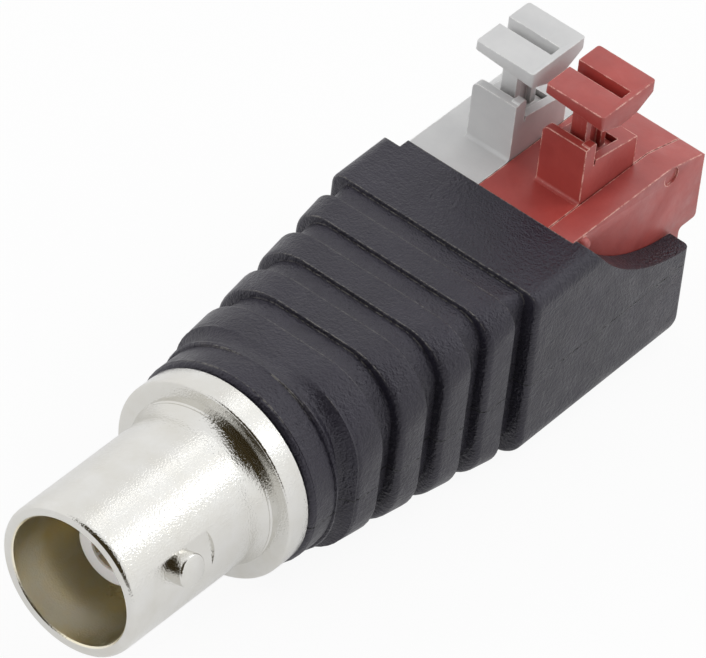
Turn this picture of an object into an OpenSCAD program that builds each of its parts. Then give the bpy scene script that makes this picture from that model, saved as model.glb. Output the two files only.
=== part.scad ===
// Adapter from a bayonet coaxial socket to a two-pole push terminal.
// The socket's axis is Y. The mouth is at the origin and faces -Y, the wire entries face +Y, +Z is up.
// A turned metal shell carries the insulator and the centre contact. A soft ribbed boot grips the shell's
// tail and holds two terminal modules side by side, each with its own push lever, spring and contact bar.

/* [Socket] */
// Outer diameter of the barrel
barrel_d = 9.6; // [9.2:0.1:10.2]
// Inner diameter of the barrel
bore_d = 8.14; // [7.6:0.02:8.4]
// Distance from the mouth to the front of the flange
barrel_len = 11.3; // [10.5:0.1:14]
// Depth of the open bore behind the mouth
bore_depth = 9; // [7:0.1:9.6]
// Bevel round the mouth, inside and outside
rim_bevel = 0.2; // [0.05:0.05:0.25]
// Diameter of the hub step in front of the flange
hub_d = 10.3; // [10.3:0.1:11.6]
// Height of the hub step
hub_h = 0.3; // [0.1:0.1:0.8]
// Radius of the hollow curve from the barrel to the hub
flare_r = 1.3; // [0.8:0.1:1.6]
// Diameter of the flange
flange_d = 12.5; // [12.2:0.1:14]
// Thickness of the flange
flange_t = 1.55; // [1:0.05:2.5]
// Bevel on the flange's edges
flange_bevel = 0.12; // [0.05:0.01:0.3]
// Diameter of the tail that the boot grips
tail_d = 8.8; // [8.2:0.1:9.4]
// Length of the tail behind the flange
tail_len = 7.2; // [5:0.1:8.4]
// Number of grip grooves round the tail
grip_count = 3; // [1:1:4]
// Diameter of the seat that the insulator sits in
seat_d = 6.4; // [5.6:0.1:7]

/* [Bayonet studs] */
// Diameter of a stud
stud_d = 2; // [1.6:0.1:2.4]
// Distance across both stud tips
stud_span = 11; // [10.6:0.1:11.6]
// Distance from the mouth to the studs
stud_y = 4.2; // [3.4:0.1:6]
// Turn of the studs about the socket's axis, in degrees
stud_turn = 17; // [0:1:90]
// Diameter of the stud's shank in the barrel wall
shank_d = 1.4; // [1:0.1:1.5]
// Diameter of the flat spot face round each stud
spot_d = 4.9; // [3.6:0.1:6]
// Depth of the spot face below the barrel's surface
spot_depth = 0.15; // [0.05:0.01:0.2]

/* [Insulator and contact] */
// Distance from the mouth to the insulator's face
nose_recess = 3.4; // [2.4:0.1:5]
// Diameter of the insulator's nose
nose_d = 4.5; // [3.8:0.1:5.4]
// Length of the insulator's body in its seat
insulator_seat_len = 5.4; // [4:0.1:6]
// Diameter of the hole in the insulator's face
face_hole_d = 1.5; // [1.4:0.1:1.9]
// Thickness of the insulator's face round that hole
face_t = 0.5; // [0.3:0.1:1]
// Outer diameter of the centre contact
contact_d = 2.1; // [2:0.1:2.6]
// Diameter of the contact's socket hole
socket_d = 1.38; // [1.3:0.02:1.5]
// Depth of the contact's socket hole
socket_depth = 5; // [3.5:0.1:7]
// Width of the four slots between the contact's fingers
slot_w = 0.2; // [0.1:0.05:0.25]
// Length of those slots
slot_len = 3.2; // [2:0.1:3.4]
// Diameter of the contact's solder tail
solder_tail_d = 1.4; // [1:0.1:1.8]
// Thickness of the ring behind the insulator
rear_ring_t = 1.4; // [0.8:0.1:2]
// Thickness of the ground tag
tag_t = 0.4; // [0.3:0.05:0.8]
// Width of the ground tag's solder tab
tag_tab_w = 1.6; // [1:0.1:2.4]
// Length of the ground tag's solder tab
tag_tab_len = 2; // [1:0.1:3]
// Diameter of the leads
lead_d = 1.1; // [0.8:0.1:1.4]

/* [Boot] */
// Diameter of the round nose
boot_nose_d = 12.84; // [12.6:0.02:13.6]
// Length of the nose
boot_nose_len = 2; // [1:0.1:3]
// Number of ribs
rib_count = 4; // [2:1:5]
// Length of each rib
rib_len = 2; // [1.4:0.1:2.6]
// Length of each groove between the ribs
groove_len = 1.5; // [0.8:0.1:2]
// Depth of the grooves in the sides
groove_depth = 0.8; // [0.2:0.05:0.9]
// Depth of the grooves across the top, where they meet the next rib
groove_top_depth = 0.25; // [0.1:0.05:0.4]
// Depth of the hollow between the nose and the first rib
hollow_depth = 0.45; // [0.1:0.05:0.6]
// Width of the first rib
first_rib_w = 13.3; // [13:0.1:14.5]
// Width that the ribs grow to
last_rib_w = 14.7; // [14:0.1:15.5]
// Width of the rear block
block_w = 15.2; // [14.8:0.1:17]
// Height of the ribs' tops above the socket's axis
rib_top = 6.1; // [5.9:0.1:7]
// Height of the rear block's top above the socket's axis
block_top = 5.98; // [5.9:0.02:7]
// Depth of the first rib's underside below the socket's axis
rib_drop = 6.3; // [6:0.05:6.6]
// Depth of the rear block's flat underside below the socket's axis
block_drop = 6.65; // [6.5:0.05:7.6]
// Corner radius of the first rib
rib_corner_r = 4.8; // [3:0.1:5.4]
// Radius of the rear block's upper corners
block_corner_r = 1; // [0.8:0.1:2]
// Radius of the rear block's lower corners
block_foot_r = 2; // [1:0.1:2.6]
// Radius of the ribs' front edges
rib_front_r = 0.4; // [0.1:0.05:0.45]
// Radius of the ribs' rear edges
rib_rear_r = 0.12; // [0.05:0.01:0.3]
// Length of the rear block's flat top, in front of the terminals
block_top_len = 5.05; // [3:0.05:8]
// Length of the side walls beside the terminals
cheek_len = 9.7; // [8.6:0.1:10.4]
// Radius of the hollow curve that the side walls fall in
scoop_r = 13.1; // [12.6:0.1:15]
// Depth of that curve's lowest point below the flat top
scoop_drop = 5.97; // [5.2:0.01:6.4]
// Radius of the soft edge where the side walls start to fall
scoop_lip_r = 1.2; // [0.4:0.1:2]
// Thickness of the floor under the terminals
floor_t = 1.4; // [1:0.1:2]

/* [Terminal modules] */
// Sideways offset of the terminals and the rear block from the socket's axis
terminal_offset = -0.2; // [-0.3:0.1:0.3]
// Width of one module
pitch = 5.08; // [5:0.02:5.2]
// Thickness of the end cover
cover_t = 1.6; // [1:0.1:1.8]
// Height of the modules' deck above the socket's axis
deck_z = 5.93; // [5.7:0.01:6.2]
// Length of the modules from front to rear
module_len = 12.15; // [12:0.05:14]
// Length of the sloping top at the rear
slope_len = 3.2; // [2:0.1:3.6]
// Drop of the sloping top at the rear
slope_drop = 0.83; // [0.4:0.01:1.4]
// Height of the upper rear face
rear_face_h = 4.83; // [4.4:0.01:5.2]
// Step back below the upper rear face
rear_step = 1.5; // [0.6:0.1:1.8]
// Thickness of a module's closed side wall
side_wall_t = 0.85; // [0.6:0.05:1.2]
// Thickness of the front wall
front_wall_t = 1.2; // [0.8:0.1:1.6]
// Thickness of the rear wall round the wire entry
rear_wall_t = 2.4; // [2:0.1:2.6]
// Thickness of the deck
roof_t = 1.03; // [0.7:0.01:1.3]
// Diameter of the wire entry
wire_d = 2.3; // [1.8:0.1:2.5]
// Diameter of the wire entry's funnel at the rear face
funnel_d = 3.2; // [2.8:0.1:3.4]
// Depth of that funnel
funnel_depth = 1; // [0.4:0.1:1.2]
// Height of the wire entry above the socket's axis
wire_z = 2.1; // [2:0.05:2.2]
// Diameter of the pegs that hold the end cover
peg_d = 1.2; // [0.8:0.1:1.4]
// Length of those pegs
peg_len = 1.5; // [0.8:0.1:2.5]
// Diameter of the round ejector mark on the end cover
mark_d = 1.2; // [0.8:0.1:2]

/* [Collar and lever] */
// Distance from the modules' front to the collar
collar_setback = 2.8; // [2.4:0.1:3.4]
// Width of the collar
collar_w = 3.18; // [2.9:0.02:3.6]
// Length of the collar
collar_len = 4.9; // [4.6:0.1:5.4]
// Height of the collar's front wall above the deck
collar_front_h = 4; // [3:0.1:4.4]
// Height of the collar's side walls above the deck, at the front
collar_side_h = 2.7; // [1.8:0.1:2.8]
// Height of the collar's side walls above the deck, at the rear
collar_rear_h = 2.1; // [1.4:0.1:2.6]
// Radius of the soft fillet at the collar's foot
collar_foot_r = 0.4; // [0.1:0.05:0.6]
// Thickness of the collar's front wall
collar_front_t = 0.55; // [0.4:0.05:0.8]
// Length of the tooth on the right side wall, behind the front wall
collar_tooth_len = 0.35; // [0.2:0.05:0.5]
// Thickness of the collar's side walls
collar_wall_t = 0.55; // [0.4:0.05:0.65]
// Thickness of the collar's rear wall
collar_rear_t = 1.2; // [0.6:0.1:1.3]
// Width of the lever's paddle
paddle_w = 4.15; // [3.6:0.05:4.6]
// Length of the lever's paddle
paddle_len = 4.72; // [4.2:0.02:5.4]
// Height of the paddle's top above the deck
paddle_h = 6.5; // [6.3:0.1:7.5]
// Thickness of the paddle at its front edge
paddle_front_t = 1.05; // [0.8:0.05:1.3]
// Thickness of the paddle at its keel
paddle_keel_t = 1.65; // [1.3:0.05:1.9]
// Thickness of the paddle at its rear edge
paddle_rear_t = 0.75; // [0.5:0.05:1.1]
// Radius of the paddle's corners
paddle_corner_r = 0.2; // [0.1:0.05:0.6]
// Width of the tool slot in the paddle
tool_slot_w = 0.8; // [0.5:0.05:1.1]
// Depth of the tool slot
tool_slot_depth = 0.95; // [0.4:0.05:1.1]
// Width of the bridge that closes the tool slot at one end
tool_slot_bridge = 0.42; // [0.3:0.02:0.8]
// Width of the lever's stem
stem_w = 1.08; // [0.8:0.02:1.4]
// Length of the lever's stem, front to rear
stem_len = 2; // [1:0.1:2.2]
// How far the lever goes down
lever_travel = 1.2; // [0.9:0.1:1.3]

/* [Spring and contact bar] */
// Thickness of the clamp spring
spring_t = 0.3; // [0.2:0.02:0.36]
// Width of the clamp spring
spring_w = 2.7; // [2:0.1:3]
// Radius of the spring's bend, to the middle of the strip
spring_bend_r = 0.7; // [0.5:0.05:0.75]
// Length of the spring's foot
spring_foot_len = 4.6; // [3:0.1:5]
// Thickness of the contact bar
bar_t = 0.6; // [0.4:0.05:0.8]
// Width of the contact bar
bar_w = 2.8; // [2.6:0.1:3]
// Width of the slot in the contact bar that the lever passes through
bar_slot_w = 1.6; // [1.4:0.1:1.8]
// Width of the contact bar's solder pin
pin_w = 1; // [0.7:0.1:1.4]
// Length of the solder pin in front of the module
pin_len = 3.5; // [2:0.1:4]

/* [Hidden] */
$fn = 72;

// Clearances
seat_gap = 0.02;
flange_gap = 0.1;
module_gap = 0.04;
pocket_gap = 0.05;
guide_gap = 0.1;
lever_play = 0.05;
tip_gap = 0.05;
past = 1;

// Colours of the finishes
nickel = [0.84, 0.84, 0.81];
white_plastic = [0.9, 0.9, 0.92];
rubber_black = [0.25, 0.24, 0.27];
grey_plastic = [0.78, 0.78, 0.78];
red_plastic = [0.68, 0.2, 0.17];
spring_steel = [0.7, 0.71, 0.72];
tinned_brass = [0.8, 0.76, 0.6];

// Shell, along Y
barrel_r = barrel_d / 2;
bore_r = bore_d / 2;
hub_r = hub_d / 2;
flange_r = flange_d / 2;
tail_r = tail_d / 2;
seat_r = seat_d / 2;
flange_rear = barrel_len + flange_t;
tail_end = flange_rear + tail_len;
hub_front = barrel_len - hub_h;
// The hollow curve starts where a circle of flare_r, tangent to the barrel, reaches the hub's radius.
flare_len = sqrt(pow(flare_r, 2) - pow(flare_r - (hub_r - barrel_r), 2));
grip_pitch = tail_len / (grip_count + 1);
grip_groove = 0.5;

// Studs
stud_tip_r = stud_span / 2;
spot_floor_r = barrel_r - spot_depth;
stud_bevel = 0.15;

// Insulator and contact, along Y
contact_front = nose_recess + face_t;
insulator_end = bore_depth + insulator_seat_len;
rear_ring_end = insulator_end + rear_ring_t;
neck_r = seat_r + 0.6;
neck_len = tag_t + 0.1;
neck_start = tail_end - neck_len;
tag_y = neck_start;
contact_shoulder = rear_ring_end + 0.4;
contact_end = tail_end + 0.6;
lead_straight = 1.4;

// Boot, along Y
boot_front = flange_rear + flange_gap;
nose_end = boot_front + boot_nose_len;
rib_pitch = rib_len + groove_len;
first_rib = nose_end + groove_len;
block_front = first_rib + rib_count * rib_pitch;
module_front = block_front + block_top_len;
boot_rear = module_front + cheek_len;
boot_nose_r = boot_nose_d / 2;
boot_bore_r = tail_r + seat_gap;
pocket_floor = floor_t - block_drop;

// Modules
stack_w = 2 * pitch + cover_t;
grey_x = terminal_offset - stack_w / 2;
red_x = grey_x + pitch;
cover_x = red_x + pitch;
module_rear = module_front + module_len;
module_floor = pocket_floor + pocket_gap;
slope_front = module_rear - slope_len;
slope_foot_z = deck_z - slope_drop;
step_z = slope_foot_z - rear_face_h;
edge_r = 0.25;
roof_z = deck_z - roof_t;
chamber_front = module_front + front_wall_t;
chamber_rear = module_rear - rear_wall_t;
wire_r = wire_d / 2;
chamber_floor = wire_z - wire_r - 2 * spring_bend_r - spring_t - 0.05;
core_floor = module_floor + 1.9;
core_roof = chamber_floor - 0.9;
peg_r = peg_d / 2;
peg_z = module_floor + 0.85;
peg_front_y = chamber_front - front_wall_t / 2 + 0.9;
peg_rear_y = chamber_rear - 0.9;

// Collar and lever, in a module's own X
collar_front = module_front + collar_setback;
collar_rear = collar_front + collar_len;
lever_x = pitch - collar_w / 2;
well_half_w = collar_w / 2 - collar_wall_t;
well_front = collar_front + collar_front_t;
well_rear = collar_rear - collar_rear_t;
tooth_rear = well_front + collar_tooth_len;
paddle_top = deck_z + paddle_h;
paddle_front = collar_front + 0.45;
paddle_rear = paddle_front + paddle_len;
tool_slot_y = paddle_front + 2.1;
stem_front = tooth_rear + 0.3;
stem_rear = stem_front + stem_len;
guide_front = well_front + guide_gap;
guide_rear = well_rear - guide_gap;
guide_half_w = well_half_w - guide_gap;
guide_top = deck_z + collar_rear_h - 0.4;
hook_top = roof_z - lever_play;
hook_h = 0.85;
hook_reach = 0.4;
tip_w = bar_slot_w - 0.4;
tip_r = 0.5;
tip_y = tooth_rear + 1.2;

// Contact bar, in the Y-Z plane: a fork under the deck, a leg down the front wall and a pin through it
bar_under = wire_z + wire_r;
bar_rear = well_rear + 0.8;
bar_slot_front = well_front - 0.6;
leg_front = chamber_front + seat_gap;
pin_half_t = bar_t / 2;
guide_base = bar_under + bar_t + lever_travel + 0.1;
pin_tip_y = module_front - pin_len;

// Spring, in the Y-Z plane: a foot on the chamber's floor, a bend at the rear and a leg up to the bar
spring_floor_z = chamber_floor + spring_t / 2;
bend_y = chamber_rear - spring_bend_r - spring_t / 2 - 1.2;
bend_z = spring_floor_z + spring_bend_r;
leg_end_y = tip_y - 0.3;
leg_end_z = bar_under - tip_gap - spring_t / 2 - 0.1;
leg_dist = norm([leg_end_y - bend_y, leg_end_z - bend_z]);
leg_rise = 180 - asin(spring_bend_r / leg_dist) - atan2(leg_end_z - bend_z, leg_end_y - bend_y);
leg_top_z = leg_end_z + spring_t / 2 * cos(leg_rise);
tip_z = leg_end_z - (tip_y - leg_end_y) * tan(leg_rise) + (tip_r + spring_t / 2 + tip_gap) / cos(leg_rise);

// A turned piece: the outline's points are [radius, y].
module turned(outline) {
    rotate([-90, 0, 0])
        rotate_extrude()
            polygon([for (p = outline) [p[0], p[1]]]);
}

// A round bar along Y.
module rod_y(y0, y1, r) {
    translate([0, y0, 0])
        rotate([-90, 0, 0])
            cylinder(h = y1 - y0, r = r);
}

// Extrudes an outline of [y, z] points from x0 to x1.
module across(x0, x1) {
    translate([x0, 0, 0])
        rotate([90, 0, 90])
            linear_extrude(height = x1 - x0)
                children();
}

// A box from its lowest to its highest corner.
module block(lo, hi) {
    translate(lo)
        cube(hi - lo);
}

// Points of a rounded edge that faces -Y, and of one that faces +Y, on an outline whose half width is w.
function front_edge(w, y, r) = [for (a = [0:22.5:90]) [w - r + r * sin(a), y + r - r * cos(a)]];
function rear_edge(w, y, r) = [for (a = [0:22.5:90]) [w - r + r * cos(a), y - r + r * sin(a)]];

// Points of a rectangle with rounded corners.
function rounded_box(x0, y0, x1, y1, r) = [
    for (c = [[x1 - r, y1 - r, 0], [x0 + r, y1 - r, 90], [x0 + r, y0 + r, 180], [x1 - r, y0 + r, 270]])
        for (a = [0:22.5:90])
            [c[0] + r * cos(c[2] + a), c[1] + r * sin(c[2] + a)]
];

// ---- Socket ----

// Points side and direction of a stud: +1 is the right one, -1 the left one.
module at_stud(side) {
    translate([0, stud_y, 0])
        rotate([0, side > 0 ? 90 - stud_turn : -90 - stud_turn, 0])
            children();
}

module bnc_shell() color(nickel) {
    flare_start = hub_front - flare_len;
    difference() {
        turned(concat(
            [[bore_r + rim_bevel, 0], [barrel_r - rim_bevel, 0], [barrel_r, 2 * rim_bevel]],
            [for (i = [0:6])
                let (y = flare_start + flare_len * i / 6)
                [barrel_r + flare_r - sqrt(pow(flare_r, 2) - pow(y - flare_start, 2)), y]],
            [[hub_r, barrel_len], [flange_r - flange_bevel, barrel_len],
             [flange_r, barrel_len + flange_bevel], [flange_r, flange_rear - flange_bevel],
             [flange_r - flange_bevel, flange_rear], [tail_r, flange_rear]],
            [for (i = [1:grip_count])
                let (y = flange_rear + i * grip_pitch)
                each [[tail_r, y - grip_groove], [tail_r - grip_groove / 2, y], [tail_r, y + 0.05]]],
            [[tail_r, neck_start], [neck_r, neck_start], [neck_r, tail_end],
             [seat_r, tail_end], [seat_r, bore_depth], [bore_r, bore_depth], [bore_r, rim_bevel]]
        ));
        for (side = [-1, 1])
            at_stud(side) {
                translate([0, 0, spot_floor_r])
                    cylinder(h = past, d = spot_d);
                cylinder(h = barrel_r, d = shank_d + 2 * seat_gap);
            }
    }
}

// A stud: a head that stands on the spot face and a shank in the barrel wall.
module lug_pin(side) {
    head_foot = spot_floor_r + seat_gap / 2;
    color(nickel)
        at_stud(side) {
            translate([0, 0, head_foot])
                cylinder(h = stud_tip_r - stud_bevel - head_foot, d = stud_d);
            translate([0, 0, stud_tip_r - stud_bevel])
                cylinder(h = stud_bevel, d1 = stud_d, d2 = stud_d - 2 * stud_bevel);
            translate([0, 0, bore_r + 0.05])
                cylinder(h = spot_floor_r - bore_r, d = shank_d);
        }
}

module lug_pin_right() lug_pin(1);

module lug_pin_left() lug_pin(-1);

module insulator() color(white_plastic) {
    hole_r = contact_d / 2 + seat_gap;
    nose_r = nose_d / 2;
    nose_bevel = 0.12;
    turned([
        [face_hole_d / 2, nose_recess], [nose_r - nose_bevel, nose_recess],
        [nose_r, nose_recess + nose_bevel], [nose_r, bore_depth], [seat_r - seat_gap, bore_depth],
        [seat_r - seat_gap, insulator_end], [hole_r, insulator_end],
        [hole_r, contact_front], [face_hole_d / 2, contact_front]
    ]);
}

module rear_insulator() color(white_plastic)
    turned([
        [contact_d / 2 + seat_gap, insulator_end], [seat_r - seat_gap, insulator_end],
        [seat_r - seat_gap, rear_ring_end], [contact_d / 2 + seat_gap, rear_ring_end]
    ]);

module centre_contact() color(tinned_brass) {
    lead_in = 0.12;
    contact_r = contact_d / 2;
    socket_r = socket_d / 2;
    difference() {
        turned([
            [socket_r + lead_in, contact_front], [contact_r, contact_front], [contact_r, contact_shoulder],
            [solder_tail_d / 2, contact_shoulder], [solder_tail_d / 2, contact_end], [0, contact_end],
            [0, contact_front + socket_depth], [socket_r, contact_front + socket_depth],
            [socket_r, contact_front + lead_in]
        ]);
        for (turn = [0, 90])
            rotate([0, turn + 45, 0])
                block([-contact_d, contact_front - past, -slot_w / 2],
                      [contact_d, contact_front + slot_len, slot_w / 2]);
    }
}

// Ring tag on the neck of the tail, with a tab that points to the rear on the grey module's side.
module ground_tag() color(tinned_brass) {
    ring_r = min(tail_r, boot_bore_r - seat_gap);
    tab_x = neck_r + seat_gap;
    difference() {
        union() {
            rod_y(tag_y + seat_gap, tag_y + tag_t, ring_r);
            intersection() {
                block([-ring_r, tag_y + seat_gap, -tag_tab_w / 2],
                      [-tab_x, tag_y + tag_t + tag_tab_len, tag_tab_w / 2]);
                rod_y(tag_y, tag_y + tag_t + tag_tab_len + past, ring_r);
            }
        }
        rod_y(tag_y - past, tail_end + past, neck_r + seat_gap);
        rod_y(tail_end, tail_end + tag_tab_len + past, neck_r + seat_gap);
    }
}

// A lead of round wire through the points of a route.
module lead(route) {
    r = lead_d / 2;
    color(tinned_brass) {
        for (i = [0:len(route) - 2]) {
            run = route[i + 1] - route[i];
            translate(route[i])
                rotate([0, acos(run[2] / norm(run)), atan2(run[1], run[0])])
                    cylinder(h = norm(run), r = r);
        }
        for (i = [1:len(route) - 2])
            translate(route[i])
                sphere(r = r * 1.06);
    }
}

module centre_lead() {
    pin_x = red_x + lever_x;
    lead([[0, contact_end, 0], [0, contact_end + lead_straight, 0],
          [pin_x, pin_tip_y - lead_straight, 0], [pin_x, pin_tip_y, 0]]);
}

module ground_lead() {
    pin_x = grey_x + lever_x;
    tab_x = lead_d / 2 + seat_gap - tail_r;
    tab_end = tag_y + tag_t + tag_tab_len;
    lead([[tab_x, tab_end, 0], [tab_x, tab_end + lead_straight, 0],
          [pin_x, pin_tip_y - lead_straight, 0], [pin_x, pin_tip_y, 0]]);
}

// ---- Boot ----

// Outline of the boot at y, set in at the sides and at the top by the grooves there: a rounded rectangle of
// [x, z] points. Next to the nose it is round. It grows along the ribs, its corners get tighter, and the
// rear block leans over to the terminals.
function boot_ring(y, inset, top_inset) =
    let (share = min(max((y - first_rib) / (block_front - first_rib), 0), 1),
         lean = min(max((y - block_front) / block_top_len, 0), 1),
         rise = min(max((y - nose_end) / (first_rib - nose_end), 0), 1),
         swell = pow(rise, 0.45),
         tighten = pow(share, 1.25),
         round_r = boot_nose_r * 0.99,
         form = y < first_rib ? [
                 round_r + (first_rib_w / 2 - round_r) * swell,
                 round_r + (rib_top - round_r) * rise,
                 round_r + (rib_drop - round_r) * rise,
                 round_r + (rib_corner_r - round_r) * swell,
                 round_r + (rib_corner_r - round_r) * swell]
             : y < block_front ? [
                 first_rib_w / 2 + (last_rib_w - first_rib_w) / 2 * share,
                 rib_top + (block_top - rib_top) * share,
                 rib_drop + (block_drop - rib_drop) * share,
                 rib_corner_r + (block_corner_r - rib_corner_r) * tighten,
                 rib_corner_r + (block_foot_r - rib_corner_r) * tighten]
             : [block_w / 2, block_top, block_drop, block_corner_r, block_foot_r],
         w = form[0] - inset,
         top = form[1] - top_inset,
         drop = form[2] - inset,
         upper_r = min(form[3] - inset * 0.6, w * 0.995),
         lower_r = min(form[4] - inset * 0.6, w * 0.995))
    [for (c = [[w - upper_r, top - upper_r, upper_r, 0], [upper_r - w, top - upper_r, upper_r, 90],
               [lower_r - w, lower_r - drop, lower_r, 180], [w - lower_r, lower_r - drop, lower_r, 270]])
        for (a = [0:11.25:90])
            [terminal_offset * lean + c[0] + c[2] * cos(c[3] + a), c[1] + c[2] * sin(c[3] + a)]];

// Stations along the boot as [y, inset, inset at the top]. Each rib has a soft front edge and a crisp rear
// edge. Across the top the groove's floor starts nearly flush behind a rib and sinks to the next one.
function rib_stations(y0, y1) = concat(
    [[y0, groove_depth, groove_top_depth]],
    [for (a = [0:30:90])
        [y0 + rib_front_r * (1 - cos(a)), rib_front_r * (1 - sin(a)), groove_top_depth * (1 - sin(a)) * 0.9]],
    [for (a = [0:45:90])
        [y1 - rib_rear_r * (1 - sin(a)), rib_rear_r * (1 - cos(a)), 0.03 * (1 - cos(a))]],
    [[y1, groove_depth, 0.04]]);

// A solid through all the stations' outlines.
module boot_loft(stations) {
    rings = [for (s = stations) [for (p = boot_ring(s[0], s[1], s[2])) [p[0], s[0], p[1]]]];
    n = len(rings[0]);
    last = (len(rings) - 1) * n;
    polyhedron(
        points = [for (ring = rings) each ring],
        faces = concat(
            [[for (j = [n - 1:-1:0]) j]],
            [for (i = [0:len(rings) - 2])
                for (j = [0:n - 1])
                    let (k = (j + 1) % n)
                    each [[i * n + j, i * n + k, i * n + n + k], [i * n + j, i * n + n + k, i * n + n + j]]],
            [[for (j = [0:n - 1]) last + j]]));
}

// What is cut away above the side walls: a soft lip, then the hollow curve down to the rear.
module scoop_outline() {
    scoop_y = module_front + sqrt(pow(scoop_r, 2) - pow(scoop_r - scoop_drop, 2));
    scoop_z = block_top - scoop_drop + scoop_r;
    rise = scoop_z - block_top + scoop_lip_r;
    lip_y = scoop_y - sqrt(pow(scoop_r + scoop_lip_r, 2) - pow(rise, 2));
    turn = atan2(rise, scoop_y - lip_y);
    polygon(concat(
        [[lip_y, block_top + past]],
        [for (i = [0:5])
            let (a = 89 + (turn - 89) * i / 5)
            [lip_y + scoop_lip_r * cos(a), block_top - scoop_lip_r + scoop_lip_r * sin(a)]],
        [for (i = [1:20])
            let (a = 180 + turn + (90 - turn) * i / 20)
            [scoop_y + scoop_r * cos(a), scoop_z + scoop_r * sin(a)]],
        [[boot_rear + 3, scoop_z - scoop_r], [boot_rear + 3, block_top + past]]));
}

module boot() color(rubber_black) {
    nose_round = 0.4;
    heel_r = 0.5;
    difference() {
        union() {
            turned(concat(
                [[0, boot_front]],
                front_edge(boot_nose_r, boot_front, nose_round),
                rear_edge(boot_nose_r, nose_end, rib_rear_r),
                [[0, nose_end]]));
            boot_loft(concat(
                [[nose_end - 0.5, hollow_depth, hollow_depth]],
                [for (i = [0:5])
                    [nose_end + groove_len * pow(i / 5, 1.5), hollow_depth * (1 - i / 6), 0.1 * (1 - i / 5)]],
                [for (k = [0:rib_count - 1])
                    let (y0 = first_rib + k * rib_pitch)
                    each [for (s = rib_stations(y0, y0 + rib_len)) if (k > 0 || s[0] > y0 + 0.1) s]],
                [for (s = rib_stations(block_front, boot_rear)) if (s[0] < module_front) s],
                [for (a = [0:45:90]) [boot_rear - heel_r * (1 - sin(a)), heel_r * (1 - cos(a)), 0]]));
        }
        rod_y(boot_front - past, module_front + past, boot_bore_r);
        block([grey_x - pocket_gap, module_front, pocket_floor],
              [grey_x + stack_w + pocket_gap, boot_rear + past, block_top + past]);
        across(-block_w, grey_x - pocket_gap)
            scoop_outline();
        across(grey_x + stack_w + pocket_gap, block_w)
            scoop_outline();
    }
}

// ---- Terminal modules ----

// Side outline of a module, which the end cover shares.
module module_outline() {
    polygon(concat(
        [[module_front, module_floor], [module_rear - rear_step, module_floor]],
        [for (a = [0:30:90])
            [module_rear - rear_step + edge_r - edge_r * cos(a), step_z - edge_r + edge_r * sin(a)]],
        [for (a = [-90:30:0])
            [module_rear - edge_r + edge_r * cos(a), step_z + edge_r + edge_r * sin(a)]],
        [[module_rear, slope_foot_z - edge_r / 2], [module_rear - edge_r, slope_foot_z + edge_r / 4],
         [slope_front, deck_z], [module_front, deck_z]]));
}

// Side outline of the collar's front wall, with a soft fillet at its foot.
module collar_front_outline() {
    bevel = 0.1;
    polygon(concat(
        [for (a = [90:-15:0])
            [collar_front - collar_foot_r * (1 - sin(a)), deck_z + collar_foot_r * (1 - cos(a)) - 0.01]],
        [[collar_front - collar_foot_r, deck_z - roof_t / 2], [well_front, deck_z - roof_t / 2],
         [well_front, deck_z + collar_front_h - bevel], [well_front - bevel, deck_z + collar_front_h],
         [collar_front + bevel, deck_z + collar_front_h],
         [collar_front, deck_z + collar_front_h - bevel]]));
}

// Side outline of the collar behind its front wall: the side falls to a low rear wall.
module collar_side_outline() {
    polygon([
        [well_front - collar_front_t / 2, deck_z - roof_t / 2], [collar_rear, deck_z - roof_t / 2],
        [collar_rear, deck_z + collar_rear_h], [tooth_rear + 0.16, deck_z + collar_side_h],
        [tooth_rear + 0.08, deck_z + collar_side_h - 0.3],
        [well_front - collar_front_t / 2, deck_z + collar_side_h - 0.3]
    ]);
}

// Side outline of the tooth that stands behind the front wall on the right.
module collar_tooth_outline() {
    bevel = 0.1;
    polygon([
        [well_front - collar_front_t / 2, deck_z + collar_side_h - 0.5],
        [tooth_rear, deck_z + collar_side_h - 0.5], [tooth_rear, deck_z + collar_front_h],
        [tooth_rear - bevel, deck_z + collar_front_h + bevel],
        [well_front - bevel, deck_z + collar_front_h + bevel],
        [well_front - collar_front_t / 2, deck_z + collar_front_h - bevel]
    ]);
}

// A housing: side wall, front and rear walls and the collar, open on its right side.
module housing(x) {
    mid = x + lever_x;
    width = pitch - module_gap;
    difference() {
        union() {
            across(x, x + width)
                module_outline();
            across(x + pitch - collar_w, x + width)
                collar_front_outline();
            across(x + pitch - collar_w, x + width)
                collar_side_outline();
            across(mid + well_half_w, x + width)
                collar_tooth_outline();
        }
        block([x + side_wall_t, chamber_front, chamber_floor], [x + pitch + past, chamber_rear, roof_z]);
        block([x + side_wall_t, chamber_front, core_floor], [x + pitch + past, chamber_rear, core_roof]);
        block([mid - well_half_w, well_front, roof_z - past], [mid + well_half_w, well_rear, paddle_top]);
        translate([mid, 0, wire_z]) {
            rod_y(chamber_rear - past, module_rear + past, wire_r);
            translate([0, module_rear - funnel_depth, 0])
                rotate([-90, 0, 0])
                    cylinder(h = funnel_depth + seat_gap, r1 = wire_r, r2 = funnel_d / 2 + seat_gap);
        }
        block([mid - pin_w / 2 - seat_gap, module_front - past, -pin_half_t - seat_gap],
              [mid + pin_w / 2 + seat_gap, chamber_front + past, pin_half_t + seat_gap]);
        for (y = [peg_front_y, peg_rear_y])
            translate([x + pitch - peg_len - 2 * pocket_gap, y, peg_z])
                rotate([0, 90, 0])
                    cylinder(h = peg_len + past, r = peg_r + seat_gap);
    }
}

module grey_housing() color(grey_plastic) housing(grey_x);

module red_housing() color(red_plastic) housing(red_x);

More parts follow.
